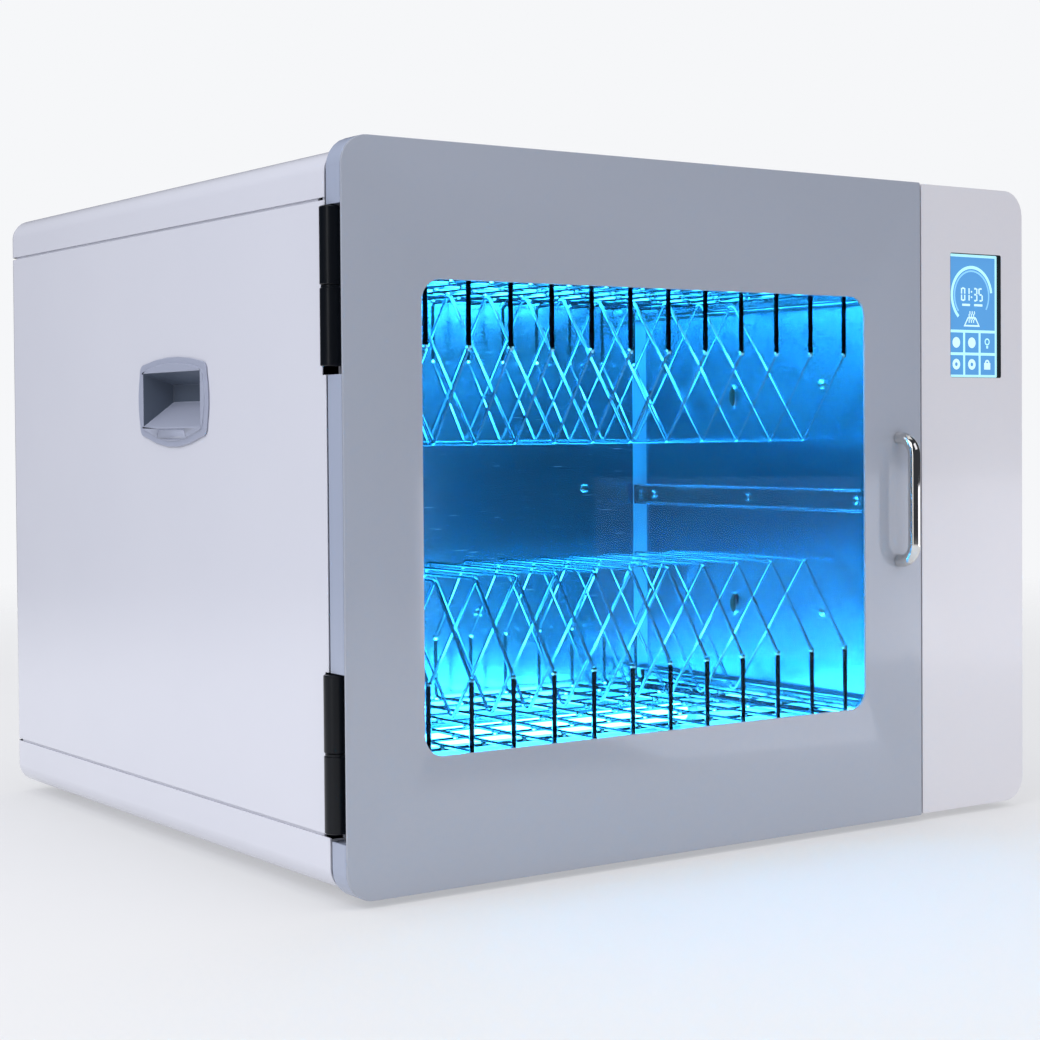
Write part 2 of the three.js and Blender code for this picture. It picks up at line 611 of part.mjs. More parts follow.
// The pull: a round bar that leaves the door square, bends up and runs parallel to it.
function pullHandle() {
  const path = new THREE.CurvePath();
  const [low, high] = handlePosts;
  const start = -gap;
  const out = -handleReach;
  const point = (y, z) => new THREE.Vector3(handleX, y, z);
  const line = (a, b) => path.add(new THREE.LineCurve3(a, b));
  const bend = (a, corner, b) => path.add(new THREE.QuadraticBezierCurve3(a, corner, b));
  const inner = out + handleBend;
  line(point(start, low), point(inner, low));
  bend(point(inner, low), point(out, low), point(out, low + handleBend));
  line(point(out, low + handleBend), point(out, high - handleBend));
  bend(point(out, high - handleBend), point(out, high), point(inner, high));
  line(point(inner, high), point(start, high));
  const circle = new THREE.Shape().absarc(0, 0, handleRadius, 0, Math.PI * 2);
  const bar = new THREE.ExtrudeGeometry(circle, { steps: 26, extrudePath: path, curveSegments: 5 });
  // The bar ends square on the door, with a blind threaded hole for each screw.
  const ahead = block(handleX - 20, handleX + 20, -far, start, low - 30, high + 30);
  const threads = handlePosts.map((z) => rodAlongY(screwRadius + gap, -7, 5, handleX, z, 12));
  add("door_handle", trimmed(common(bar, ahead), ...threads), "chrome");
  handlePosts.forEach((z, i) => {
    const head = rodAlongY(screwHeadRadius, screwHeadFront, screwHeadFront + screwHeadHeight, handleX, z, 12);
    const screw = joined(rodAlongY(screwRadius, -6, screwHeadFront + 1, handleX, z, 10), head);
    add(`handle_screw_${i + 1}`, screw, "zinc");
  });
}

// A lift-off hinge: the lower half is on the case and carries the pin, the upper half is on the door.
function hinge(place, bottom) {
  const barrel = (low) => rodAlongZ(barrelRadius, low, low + knuckleLength, hingeAxisX, hingeAxisY, 20);
  const upper = bottom + knuckleLength + knuckleGap;
  const boreTop = upper + knuckleLength - 6;
  const leafEnd = hingeAxisX + leafLength;
  const leaf = (front, low) =>
    block(hingeAxisX, leafEnd, front, front + leafThickness, low + 2, low + knuckleLength - 2);
  const pin = rodAlongZ(hingePinRadius, upper - knuckleGap - 1, boreTop - 1, hingeAxisX, hingeAxisY, 14);
  const bore = rodAlongZ(hingePinRadius + gap, upper - 1, boreTop, hingeAxisX, hingeAxisY, 14);
  const caseHalf = joined(barrel(bottom), leaf(frameFront - gap - leafThickness, bottom), pin);
  add(`${place}_hinge_case_half`, caseHalf, "blackSteel");
  const doorHalf = trimmed(joined(barrel(upper), leaf(hingeAxisY - leafThickness / 2, upper)), bore);
  add(`${place}_hinge_door_half`, doorHalf, "blackSteel");
}

// ---- Control column -----------------------------------------------------------------------------------------

function controlColumn() {
  const bounds = { left: columnLeft, right: caseWidth, bottom: doorAboveFloor + 0.8, top: doorTop - 0.8 };
  const face = (inset) => outline(grown(bounds, -inset),
    { lowRight: doorCorner - inset, highRight: doorCorner - inset, lowLeft: 1.5, highLeft: 1.5 });
  const plateBack = fasciaFront + fasciaWall;
  const hollow = slab(face(fasciaWall), plateBack, caseFront + 1);
  const opening = slab(outline(screen, allCorners(1.5)), -1, 30, 1);
  add("control_fascia", trimmed(slab(face(0), fasciaFront, caseFront - gap), hollow, opening), "columnWhite");
  const back = plateBack + gap;
  const glassFront = fasciaFront + screenDepth;
  const bezelOuter = slab(outline(grown(screen, 5), allCorners(3)), back, glassFront + 5, 1);
  const aperture = slab(outline(grown(screen, -1.2), allCorners(1)), 0, 40, 1);
  const seat = slab(outline(grown(screen, 1.3), allCorners(1)), glassFront - gap, 40, 1);
  add("screen_bezel", trimmed(bezelOuter, aperture, seat), "blackPlastic");
  add("touchscreen", slab(outline(grown(screen, 1), allCorners(1)), glassFront, glassFront + 3, 1), "screen");
  const boardFront = glassFront + 5.5;
  const board = block(screen.left - 1, screen.right + 1, boardFront, boardFront + 1.6,
    screen.bottom - 1, screen.top + 1);
  add("control_board", board, "board");
}

// ---- Carry handles ------------------------------------------------------------------------------------------

// The bezel's outline in y and z: four bowed edges and rounded corners, set in by inset.
function gripOutline(inset) {
  const half = gripLength / 2 - inset;
  const side = half - gripSideBow;
  const [low, high] = [gripTop - gripHeight + inset, gripTop - inset];
  const [sill, head] = [low + gripLowBow, high - gripTopBow];
  const middle = (sill + head) / 2;
  const r = gripCorner;
  const shape = new THREE.Shape();
  shape.moveTo(r - side, sill);
  shape.quadraticCurveTo(0, 2 * low - sill, side - r, sill);
  shape.quadraticCurveTo(side, sill, side, sill + r);
  shape.quadraticCurveTo(2 * half - side, middle, side, head - r);
  shape.quadraticCurveTo(side, head, side - r, head);
  shape.quadraticCurveTo(0, 2 * high - head, r - side, head);
  shape.quadraticCurveTo(-side, head, -side, head - r);
  shape.quadraticCurveTo(side - 2 * half, middle, -side, sill + r);
  shape.quadraticCurveTo(-side, sill, r - side, sill);
  return shape;
}

// A moulded tub behind a two-step bezel, built for the left side and mirrored for the right.
function carryHandle(side) {
  const step = (inset, near, depth) => alongX(new THREE.ExtrudeGeometry(gripOutline(inset),
    { depth, bevelEnabled: false, curveSegments: 5 })).translate(near, gripMiddle, 0);
  const flange = step(0, -gap - gripStep, gripStep);
  const raised = step(gripStepInset, -gap - gripProud, gripProud);
  const { front, back, low, high } = pocket;
  const w = tubWall;
  const tapers = [pocketDraft, pocketRise, pocketFall];
  const tub = taperedBlock(-gap - gripStep, pocketDepth + 2, front - w, back + w, low - w, high + w, ...tapers);
  const hollow = taperedBlock(-gap - gripProud - 1, pocketDepth, front, back, low, high, ...tapers);
  const handle = trimmed(joined(flange, raised, tub), hollow);
  if (side === "left") return add("left_carry_handle", handle, "carryGrey");
  const mirrored = solidFrom(handle).mirror([1, 0, 0]);
  return add("right_carry_handle", geometryFrom(mirrored).translate(caseWidth, 0, 0), "carryGrey");
}

// ---- Back and service bay -----------------------------------------------------------------------------------

function fanUnit() {
  const y1 = caseDepth - caseWall - gap;
  const y0 = y1 - fanThickness;
  const half = fanRadius + 3;
  const strut = (turn) =>
    new THREE.BoxGeometry(2 * fanRadius + 2, 3, 6).rotateY(turn).translate(fan.x, y0 + 1.5, fan.z);
  const struts = [strut(Math.PI / 4), strut(-Math.PI / 4)];
  const hub = rodAlongY(14, y0, y0 + 3, fan.x, fan.z, 16);
  const square = block(fan.x - half, fan.x + half, y0, y1, fan.z - half, fan.z + half);
  const ring = trimmed(square, rodAlongY(fanRadius, y0 - 1, y1 + 1, fan.x, fan.z, 32));
  add("fan_housing", joined(ring, hub, ...struts), "blackPlastic");
  const blades = [];
  const bladeCount = 7;
  const bladeLength = fanRadius - 16;
  for (let i = 0; i < bladeCount; i++) {
    const blade = new THREE.BoxGeometry(bladeLength, 1.6, 17).rotateX(-0.7).translate(bladeLength / 2 + 13, 0, 0);
    blades.push(blade.rotateY((i * 2 * Math.PI) / bladeCount).translate(fan.x, (y0 + y1) / 2 + 2, fan.z));
  }
  add("fan_rotor", joined(rodAlongY(15, y0 + 3 + gap, y1 - 2, fan.x, fan.z, 20), ...blades), "blackPlastic");
  const guard = [];
  const guardY = caseDepth + gap;
  const guardThickness = guardProud - gap;
  for (const radius of [12, 22, 32, fanRadius + 2]) {
    const disc = rodAlongY(radius + 1.4, guardY, guardY + guardThickness, fan.x, fan.z, 16);
    guard.push(trimmed(disc, rodAlongY(radius - 1.4, guardY - 1, guardY + 4, fan.x, fan.z, 16)));
  }
  for (const turn of [Math.PI / 4, -Math.PI / 4]) {
    const spoke = new THREE.BoxGeometry(2 * fanRadius + 14, guardThickness, 3).rotateY(turn);
    guard.push(spoke.translate(fan.x, guardY + guardThickness / 2, fan.z));
  }
  add("fan_guard", joined(...guard), "chrome");
}

const switchPivotY = caseDepth - 3;

function inletAndSwitch() {
  const flange = block(inlet.x - inletWidth / 2 - 4, inlet.x + inletWidth / 2 + 4, caseDepth + gap, caseDepth + 2,
    inlet.z - inletHeight / 2 - 4, inlet.z + inletHeight / 2 + 4);
  const [halfWidth, halfHeight] = [inletWidth / 2 - gap, inletHeight / 2 - gap];
  const body = block(inlet.x - halfWidth, inlet.x + halfWidth, caseDepth - 22, caseDepth + 1,
    inlet.z - halfHeight, inlet.z + halfHeight);
  const socket = block(inlet.x - 12.2, inlet.x + 12.2, caseDepth - 15, caseDepth + 5, inlet.z - 8, inlet.z + 8);
  // The earth pin in the middle stands higher than the other two.
  const pins = [[-7, 0], [0, 4], [7, 0]].map(([dx, dz]) => block(inlet.x + dx - 1, inlet.x + dx + 1,
    caseDepth - 16, caseDepth - 3, inlet.z + dz - 2, inlet.z + dz + 2));
  add("power_inlet", joined(trimmed(joined(flange, body), socket), ...pins), "blackPlastic");
  const z = switchZ;
  const frame = trimmed(
    joined(block(inlet.x - 13, inlet.x + 13, caseDepth + gap, caseDepth + 1.8, z - 17, z + 17),
      block(inlet.x - 9.7, inlet.x + 9.7, caseDepth - 14, caseDepth + 1, z - 13.7, z + 13.7)),
    block(inlet.x - 8, inlet.x + 8, caseDepth - 8, caseDepth + 5, z - 12, z + 12));
  add("power_switch_body", frame, "blackPlastic");
  // The rocker is a shallow V seen from the side, so each half presses flush in turn.
  const rocker = new THREE.Shape();
  const w = 11 - switchTravelGap;
  const points = [[-w, caseDepth - 2.5], [0, caseDepth - 6], [w, caseDepth - 2.5],
    [w, caseDepth + 1], [0, caseDepth - 0.8], [-w, caseDepth + 1]];
  points.forEach(([h, y], i) => (i ? rocker.lineTo(h, y) : rocker.moveTo(h, y)));
  const geometry = new THREE.ExtrudeGeometry(rocker, { depth: 15, bevelEnabled: false });
  geometry.rotateY(-Math.PI / 2).translate(0, -switchPivotY, 0).rotateX(switchTilt);
  geometry.translate(inlet.x + 7.5, switchPivotY, z);
  add("power_switch_rocker", geometry, "blackPlastic");
}

function serviceBay() {
  const floor = caseBottom + caseWall + gap;
  const ballast = (name, x) =>
    add(name, block(x, x + 190, chamberBack + 70, chamberBack + 112, floor, floor + 34), "zinc");
  ballast("lamp_ballast_upper", 70);
  ballast("lamp_ballast_lower", 290);
  add("power_supply", block(columnLeft + 4, caseWidth - 30, 120, 240, floor, floor + 42), "aluminium");
}

function doorSwitch() {
  const y0 = frameFront + frameThickness + gap;
  const housing = trimmed(block(plunger.x - 9, plunger.x + 9, y0, y0 + 20, plunger.z - 9, plunger.z + 9),
    rodAlongY(plungerRadius + gap, y0 - 1, y0 + 14, plunger.x, plunger.z, 12));
  add("door_switch", housing, "blackPlastic");
  const pin = rodAlongY(plungerRadius, doorThickness + gap, y0 + 12 - plungerTravel, plunger.x, plunger.z, 10);
  add("door_switch_plunger", pin, "ceramic");
  add("door_magnet", latchBlock(doorThickness + 2 + gap, frameFront - gap), "blackPlastic");
}

// ---- Assembly -----------------------------------------------------------------------------------------------

covers();
sidePanels();
backPanel();
frontFrame();
feet();
chamber();
lampTray(chamberFloor, 1);
lampTray(chamberCeiling, -1);
for (const side of ["left", "right"]) {
  rail(`lower_rail_${side}`, lowerRackBase, side);
  rail(`middle_rail_${side}`, middleRail, side);
  rail(`upper_rail_${side}`, upperRackBase, side);
}
rack("lower_rack", lowerRackBase, 1);
rack("upper_rack", upperRackBase, -1);
door();
pullHandle();
hinge("lower", lowerHinge);
hinge("upper", upperHinge);
controlColumn();
carryHandle("left");
carryHandle("right");
fanUnit();
inletAndSwitch();
serviceBay();
doorSwitch();

// The origin goes to the middle of the footprint, on the floor.
const leftmost = hingeAxisX - barrelRadius;
const rightmost = caseWidth + gap + gripProud;
const foremost = -handleReach - handleRadius;
const rearmost = caseDepth + guardProud;
cabinet.position.set(-(leftmost + rightmost) / 2, -(foremost + rearmost) / 2, 0);

export default cabinet;
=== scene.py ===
# UV sterilizer cabinet: finished surfaces, wire racks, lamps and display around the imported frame.
import bmesh
import bpy
import json
import math
from mathutils import Matrix, Vector


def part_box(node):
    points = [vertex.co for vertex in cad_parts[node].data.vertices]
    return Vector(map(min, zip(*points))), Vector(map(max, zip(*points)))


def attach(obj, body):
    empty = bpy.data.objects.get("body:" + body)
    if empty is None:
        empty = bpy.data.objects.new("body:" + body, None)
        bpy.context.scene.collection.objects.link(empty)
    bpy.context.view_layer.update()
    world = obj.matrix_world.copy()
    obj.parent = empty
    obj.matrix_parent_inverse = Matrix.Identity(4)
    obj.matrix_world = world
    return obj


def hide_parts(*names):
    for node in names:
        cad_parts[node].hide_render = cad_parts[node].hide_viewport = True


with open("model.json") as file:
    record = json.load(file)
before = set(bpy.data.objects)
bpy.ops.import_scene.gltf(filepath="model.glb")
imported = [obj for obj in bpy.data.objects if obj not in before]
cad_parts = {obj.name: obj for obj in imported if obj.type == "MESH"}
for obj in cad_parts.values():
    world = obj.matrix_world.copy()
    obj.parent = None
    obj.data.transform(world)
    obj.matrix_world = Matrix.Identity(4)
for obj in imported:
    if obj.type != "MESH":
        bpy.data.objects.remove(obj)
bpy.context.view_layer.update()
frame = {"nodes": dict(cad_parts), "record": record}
nodes = frame["nodes"]
record = frame["record"]
bodyOf = {node: body for body, members in record["behaviour"]["bodies"].items() for node in members}
mm = 0.001
print("frame loaded:", len(nodes), "nodes")


def linear(code):
    channels = [int(code[i:i + 2], 16) / 255 for i in (1, 3, 5)]
    return [c / 12.92 if c <= 0.04045 else ((c + 0.055) / 1.055) ** 2.4 for c in channels] + [1.0]


def put(tree, kind, inputs=None, links=None, **settings):
    node = tree.nodes.new(kind)
    for key, value in settings.items():
        setattr(node, key, value)
    for key, value in (inputs or {}).items():
        node.inputs[key].default_value = value
    for key, source in (links or {}).items():
        tree.links.new(source, node.inputs[key])
    return node


def corners(name):
    low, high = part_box(name)
    return low, high, (low + high) / 2


def linkedObject(name, data):
    made = bpy.data.objects.new(name, data)
    bpy.context.scene.collection.objects.link(made)
    return made


def settled(source, name):
    # the evaluated shape as a plain mesh at the origin
    bpy.context.view_layer.update()
    graph = bpy.context.evaluated_depsgraph_get()
    shape = source.evaluated_get(graph)
    mesh = bpy.data.meshes.new_from_object(shape, preserve_all_data_layers=True, depsgraph=graph)
    mesh.transform(source.matrix_world)
    bpy.data.objects.remove(source)
    mesh.name = name
    return linkedObject(name, mesh)


def smoothed(piece, angle=35):
    piece.data.polygons.foreach_set("use_smooth", [True] * len(piece.data.polygons))
    piece.data.set_sharp_from_angle(angle=math.radians(angle))
    return piece


def cleaned(piece, distance=0.00002):
    work = bmesh.new()
    work.from_mesh(piece.data)
    bmesh.ops.remove_doubles(work, verts=work.verts, dist=distance)
    bmesh.ops.recalc_face_normals(work, faces=work.faces)
    work.to_mesh(piece.data)
    work.free()
    return piece


def place(piece, body, finish=None, standsFor=()):
    if finish:
        piece.data.materials.clear()
        piece.data.materials.append(finish)
    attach(piece, body)
    if standsFor:
        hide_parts(*standsFor)
    return piece


def merged(name, parts):
    # several finished pieces as one object, materials kept
    work = bmesh.new()
    materials = []
    for part in parts:
        offset = [materials.index(m) if m in materials else materials.append(m) or len(materials) - 1
                  for m in part.data.materials]
        start = len(work.faces)
        work.from_mesh(part.data)
        work.faces.ensure_lookup_table()
        for face in work.faces[start:]:
            face.material_index = offset[face.material_index] if offset else 0
    mesh = bpy.data.meshes.new(name)
    work.to_mesh(mesh)
    work.free()
    for material in materials:
        mesh.materials.append(material)
    for part in parts:
        bpy.data.objects.remove(part)
    return linkedObject(name, mesh)


def startMaterial(name):
    material = bpy.data.materials.new(name)
    material.use_nodes = True
    tree = material.node_tree
    tree.nodes.clear()
    shader = put(tree, "ShaderNodeBsdfPrincipled")
    put(tree, "ShaderNodeOutputMaterial", links={"Surface": shader.outputs["BSDF"]})
    coordinates = put(tree, "ShaderNodeTexCoord").outputs["Object"]
    return material, tree, shader, coordinates


def setShader(shader, values):
    for key, value in values.items():
        shader.inputs[key].default_value = value


def noiseOf(tree, vector, size, detail):
    # size of the blotches in millimetres
    return put(tree, "ShaderNodeTexNoise", {"Scale": 1 / (size * mm), "Detail": detail}, {"Vector": vector})


def toneVariation(tree, shader, coordinates, base, other, size):
    # slow drift between two close tones, size in millimetres
    noise = noiseOf(tree, coordinates, size, 3.0)
    mix = put(tree, "ShaderNodeMix", {6: linear(base), 7: linear(other)},
              {0: noise.outputs["Fac"]}, data_type="RGBA")
    tree.links.new(mix.outputs[2], shader.inputs["Base Color"])
    return noise


def roughnessRange(tree, shader, source, low, high):
    spread = put(tree, "ShaderNodeMapRange", {"To Min": low, "To Max": high}, {"Value": source})
    tree.links.new(spread.outputs["Result"], shader.inputs["Roughness"])


def bump(tree, shader, height, strength, distance):
    node = put(tree, "ShaderNodeBump", {"Strength": strength, "Distance": distance * mm}, {"Height": height})
    tree.links.new(node.outputs["Normal"], shader.inputs["Normal"])


coatSizes = {"peel": 2.2, "drift": 140.0, "dust": 9.0}  # millimetres


def coatedMaterial(name, base, other, roughness, peelStrength=0.05, coat=0.0, gloss=0.5):
    # sprayed and baked coat: a faint orange peel breaks up the reflections
    material, tree, shader, coordinates = startMaterial(name)
    toneVariation(tree, shader, coordinates, base, other, coatSizes["drift"])
    dust = noiseOf(tree, coordinates, coatSizes["dust"], 5.0)
    roughnessRange(tree, shader, dust.outputs["Fac"], roughness * 0.85, roughness * 1.2)
    peel = noiseOf(tree, coordinates, coatSizes["peel"], 2.0)
    bump(tree, shader, peel.outputs["Fac"], peelStrength, 0.2)
    setShader(shader, {"IOR": 1.5, "Coat Weight": coat, "Coat Roughness": 0.06, "Specular IOR Level": gloss})
    return material


def mouldedMaterial(name, base, other, roughness, grain, grainStrength):
    # moulded plastic: spark-eroded grain, drawn a little coarser than the real 0.1 mm so that it shows
    material, tree, shader, coordinates = startMaterial(name)
    toneVariation(tree, shader, coordinates, base, other, 60.0)
    cells = put(tree, "ShaderNodeTexVoronoi", {"Scale": 1 / (grain * mm)}, {"Vector": coordinates})
    bump(tree, shader, cells.outputs["Distance"], grainStrength, 0.1)
    dust = noiseOf(tree, coordinates, 14, 4.0)
    roughnessRange(tree, shader, dust.outputs["Fac"], roughness * 0.85, roughness * 1.2)
    setShader(shader, {"IOR": 1.49})
    return material


def metalMaterial(name, base, other, roughness, grainAxis=None, grainWidth=0.5, anisotropic=0.0, strength=0.08):
    # bare metal: grain lines run along one axis where it is brushed or rolled
    material, tree, shader, coordinates = startMaterial(name)
    setShader(shader, {"Metallic": 1.0, "Anisotropic": anisotropic})
    toneVariation(tree, shader, coordinates, base, other, 90.0)
    stretch = [1.0, 1.0, 1.0]
    if grainAxis is not None:
        stretch[grainAxis] = 0.02
    mapping = put(tree, "ShaderNodeMapping", {"Scale": stretch}, {"Vector": coordinates})
    lines = noiseOf(tree, mapping.outputs["Vector"], grainWidth, 4.0)
    roughnessRange(tree, shader, lines.outputs["Fac"], roughness * 0.75, roughness * 1.3)
    bump(tree, shader, lines.outputs["Fac"], strength, 0.05)
    return material


def glowMaterial(name, base, glow, strength):
    material, tree, shader, coordinates = startMaterial(name)
    drift = toneVariation(tree, shader, coordinates, base, base, 60.0)
    roughnessRange(tree, shader, drift.outputs["Fac"], 0.1, 0.2)
    setShader(shader, {"Emission Color": linear(glow), "Emission Strength": strength})
    return material


def glassMaterial(name, base):
    # clear pane with a faint blue tint; its low index keeps its surface from veiling what is behind it
    material, tree, shader, coordinates = startMaterial(name)
    smear = noiseOf(tree, coordinates, 70, 3.0)
    roughnessRange(tree, shader, smear.outputs["Fac"], 0.0, 0.015)
    setShader(shader, {"Base Color": linear(base), "Transmission Weight": 1.0, "IOR": 1.12})
    return material


whiteEnamel = coatedMaterial("powder_coated_steel_white", "#D5D7E2", "#D1D3DF", 0.2, 0.05, 0.25)
doorEnamel = coatedMaterial("lacquered_panel_grey", "#9EA4B1", "#A1A7B5", 0.12, 0.03, 0.4)
doorEdgeWhite = coatedMaterial("lacquered_door_edge_white", "#A2ABC0", "#9DA6BC", 0.22, 0.04, 0.2)
columnWhite = coatedMaterial("lacquered_fascia_white", "#D6D5DB", "#D2D1D8", 0.2, 0.04, 0.25)
carryAbs = mouldedMaterial("moulded_abs_grey", "#A2A8BC", "#9CA2B6", 0.3, 0.45, 0.08)
# painted shade: a darker copy of the moulded grey, standing in for the shade on the carry pocket's walls and
# ceiling
carryPaintedShade = mouldedMaterial("moulded_abs_grey_recess", "#545E6E", "#4F5868", 0.34, 0.45, 0.08)
blackAbs = mouldedMaterial("moulded_abs_black", "#15171B", "#1A1C20", 0.42, 0.5, 0.2)
blackNylon = mouldedMaterial("glass_filled_nylon_black", "#101216", "#16181C", 0.5, 0.6, 0.3)
brushedX = metalMaterial("brushed_stainless_sheet", "#98B4CA", "#8CAAC2", 0.24, 0, 0.7, 0.35, 0.1)
brushedY = metalMaterial("rolled_stainless_channel", "#A6BACA", "#9AB0C2", 0.22, 1, 0.6, 0.3, 0.08)
cornerSteel = metalMaterial("bead_blasted_stainless_strip", "#628BAA", "#769FBC", 0.42, None, 1.2, 0.0, 0.15)
chrome = metalMaterial("polished_chrome_plate", "#E4E2DE", "#DCDAD6", 0.05, None, 6.0, 0.0, 0.02)
wireChrome = metalMaterial("electropolished_wire", "#839AAB", "#7991A3", 0.1, None, 2.0, 0.0, 0.06)
# painted shade: two darker copies of the electropolished wire, the darkest for the posts, standing in for dim
# reflections and shade on the same metal
wirePaintedShade = metalMaterial("stainless_grid_wire", "#4C6374", "#455B6C", 0.2, None, 2.0, 0.0, 0.06)
wirePaintedDarkShade = metalMaterial("electropolished_post_dark", "#1C2731", "#17212A", 0.12, None, 2.0, 0.0, 0.06)
reflector = metalMaterial("rolled_aluminium_reflector", "#DDE2E8", "#D2D8DF", 0.3, 0, 0.8, 0.2, 0.08)
blackZinc = coatedMaterial("satin_black_coated_zinc", "#04080F", "#070C14", 0.3, 0.08, 0.0, 0.3)
gasketBlack = mouldedMaterial("epdm_gasket_black", "#020304", "#030405", 0.8, 0.8, 0.2)
zincPlate = metalMaterial("zinc_plated_steel", "#A9ACAF", "#9EA3A2", 0.35, None, 3.0, 0.0, 0.1)
nitrile = mouldedMaterial("nitrile_rubber_black", "#1A1B1E", "#202125", 0.7, 0.8, 0.3)
ceramic = coatedMaterial("glazed_porcelain_white", "#E9E6DC", "#E2DED2", 0.15, 0.03, 0.4)
boardGreen = mouldedMaterial("glass_epoxy_laminate_green", "#1E5A3A", "#174A30", 0.4, 0.9, 0.15)
paneGlass = glassMaterial("float_glass_blue_tinted", "#C4E6F2")
lampGlow = glowMaterial("quartz_tube_lit", "#D8F4FF", "#54D2FF", 78.0)
screenBlue = glowMaterial("display_backlight_blue", "#26506A", "#5C9CDC", 0.92)
screenCyan = glowMaterial("display_light_cyan", "#6A8C92", "#B4F2FF", 0.95)
screenPale = glowMaterial("display_pale_blue", "#4A6C8C", "#8CCFFF", 0.95)
screenWhite = glowMaterial("display_white", "#6A8C92", "#D2F4FF", 0.92)
print("materials made")


def outlinePoints(left, right, bottom, top, radii, steps=14):
    # counter-clockwise from the lower left corner; radii are lower left, lower right, upper right, upper left
    centres = [(left, bottom, 1, 1), (right, bottom, -1, 1), (right, top, -1, -1), (left, top, 1, -1)]
    points = []
    for i, (x, z, sx, sz) in enumerate(centres):
        radius = radii[i]
        for k in range(steps + 1 if radius else 1):
            angle = math.pi * (1 + 0.5 * i) + (math.pi / 2) * (k / steps)
            points.append((x + sx * radius + radius * math.cos(angle),
                           z + sz * radius + radius * math.sin(angle)))
    return points


def outlineCurve(name, outlines):
    # outlines in x and z, the first outside and the rest holes
    curve = bpy.data.curves.new(name, "CURVE")
    curve.dimensions = "2D"
    curve.fill_mode = "BOTH"
    for points in outlines:
        spline = curve.splines.new("POLY")
        spline.points.add(len(points) - 1)
        for target, (x, z) in zip(spline.points, points):
            target.co = (x, z, 0, 1)
        spline.use_cyclic_u = True
    return curve


def facingFront(name, curve, y):
    source = linkedObject(name + "_outline", curve)
    source.matrix_world = Matrix.Translation((0, y, 0)) @ Matrix.Rotation(math.pi / 2, 4, "X")
    return settled(source, name)


def plate(name, outlines, y0, y1, bevel=0.0, bevelSteps=2):
    # outlines given thickness from y0 to y1
    curve = outlineCurve(name, outlines)
    curve.extrude = abs(y1 - y0) / 2 - bevel
    curve.bevel_depth = bevel
    curve.bevel_resolution = bevelSteps
    curve.offset = -bevel
    return smoothed(cleaned(facingFront(name, curve, (y0 + y1) / 2)), 30)


def flatShape(name, outlines, y):
    # a thin drawn shape facing the front
    curve = outlineCurve(name, outlines)
    curve.extrude = 0.05 * mm
    return cleaned(facingFront(name, curve, y), 0.000001)


def turned(name, profile, centre, axis, steps=48):
    # profile of (radius, height) from end to end, turned about an axis through centre
    work = bmesh.new()
    rings = []
    toAxis = Vector((0, 0, 1)).rotation_difference(Vector(axis)).to_matrix()
    for radius, height in profile:
        if radius < 1e-7:
            rings.append([work.verts.new(Vector(centre) + toAxis @ Vector((0, 0, height)))])
            continue
        ring = []
        for k in range(steps):
            angle = 2 * math.pi * k / steps
            around = Vector((radius * math.cos(angle), radius * math.sin(angle), height))
            ring.append(work.verts.new(Vector(centre) + toAxis @ around))
        rings.append(ring)
    for a, b in zip(rings, rings[1:]):
        for k in range(steps):
            n = (k + 1) % steps
            corner = [a[k % len(a)], a[n % len(a)], b[n % len(b)], b[k % len(b)]]
            work.faces.new(list(dict.fromkeys(corner)))
    bmesh.ops.recalc_face_normals(work, faces=work.faces)
    mesh = bpy.data.meshes.new(name)
    work.to_mesh(mesh)
    work.free()
    return smoothed(linkedObject(name, mesh), 32)


def roundedBar(name, path, radius, steps=24):
    # a round bar swept along points, ends closed
    curve = bpy.data.curves.new(name, "CURVE")
    curve.dimensions = "3D"
    spline = curve.splines.new("POLY")
    spline.points.add(len(path) - 1)
    for target, point in zip(spline.points, path):
        target.co = (*point, 1)
    curve.bevel_depth = radius
    curve.bevel_resolution = steps // 4
    curve.use_fill_caps = True
    return smoothed(cleaned(settled(linkedObject(name + "_path", curve), name)), 50)


def softenedCopy(source, name, width, segments=2, angle=32):
    # a copy of a frame node with its edges rounded by width millimetres
    mesh = source.data.copy()
    work = bmesh.new()
    work.from_mesh(mesh)
    bmesh.ops.remove_doubles(work, verts=work.verts, dist=0.00002)
    bmesh.ops.dissolve_limit(work, angle_limit=math.radians(1.5), verts=work.verts, edges=work.edges)
    work.to_mesh(mesh)
    work.free()
    copy = linkedObject(name + "_blank", mesh)
    bevel = copy.modifiers.new("edges", "BEVEL")
    bevel.width = width * mm
    bevel.segments = segments
    bevel.limit_method = "ANGLE"
    bevel.angle_limit = math.radians(angle)
    bevel.use_clamp_overlap = True
    weighted = copy.modifiers.new("normals", "WEIGHTED_NORMAL")
    weighted.keep_sharp = True
    mesh.polygons.foreach_set("use_smooth", [True] * len(mesh.polygons))
    return settled(copy, name)


def softened(node, width, finish, segments=2):
    piece = softenedCopy(nodes[node], node + "_finished", width, segments)
    return place(piece, bodyOf[node], finish, [node])


def startTree(name, sizes):
    tree = bpy.data.node_groups.new(name, "GeometryNodeTree")
    tree.interface.new_socket(name="Geometry", in_out="INPUT", socket_type="NodeSocketGeometry")
    for label, kind in sizes.items():
        tree.interface.new_socket(name=label, in_out="INPUT", socket_type="NodeSocket" + kind)
    tree.interface.new_socket(name="Geometry", in_out="OUTPUT", socket_type="NodeSocketGeometry")
    return tree, put(tree, "NodeGroupInput").outputs


def endTree(tree, geometry, material):
    real = put(tree, "GeometryNodeRealizeInstances", links={"Geometry": geometry})
    painted = put(tree, "GeometryNodeSetMaterial", links={"Geometry": real.outputs[0], "Material": material})
    put(tree, "NodeGroupOutput", links={0: painted.outputs[0]})


def grown(source, tree, values, name):
    # runs a tree on an object and keeps the result as a plain mesh
    modifier = source.modifiers.new(tree.name, "NODES")
    modifier.node_group = tree
    for item in tree.interface.items_tree:
        if item.in_out == "INPUT" and item.name in values:
            modifier[item.identifier] = values[item.name]
    return settled(source, name)


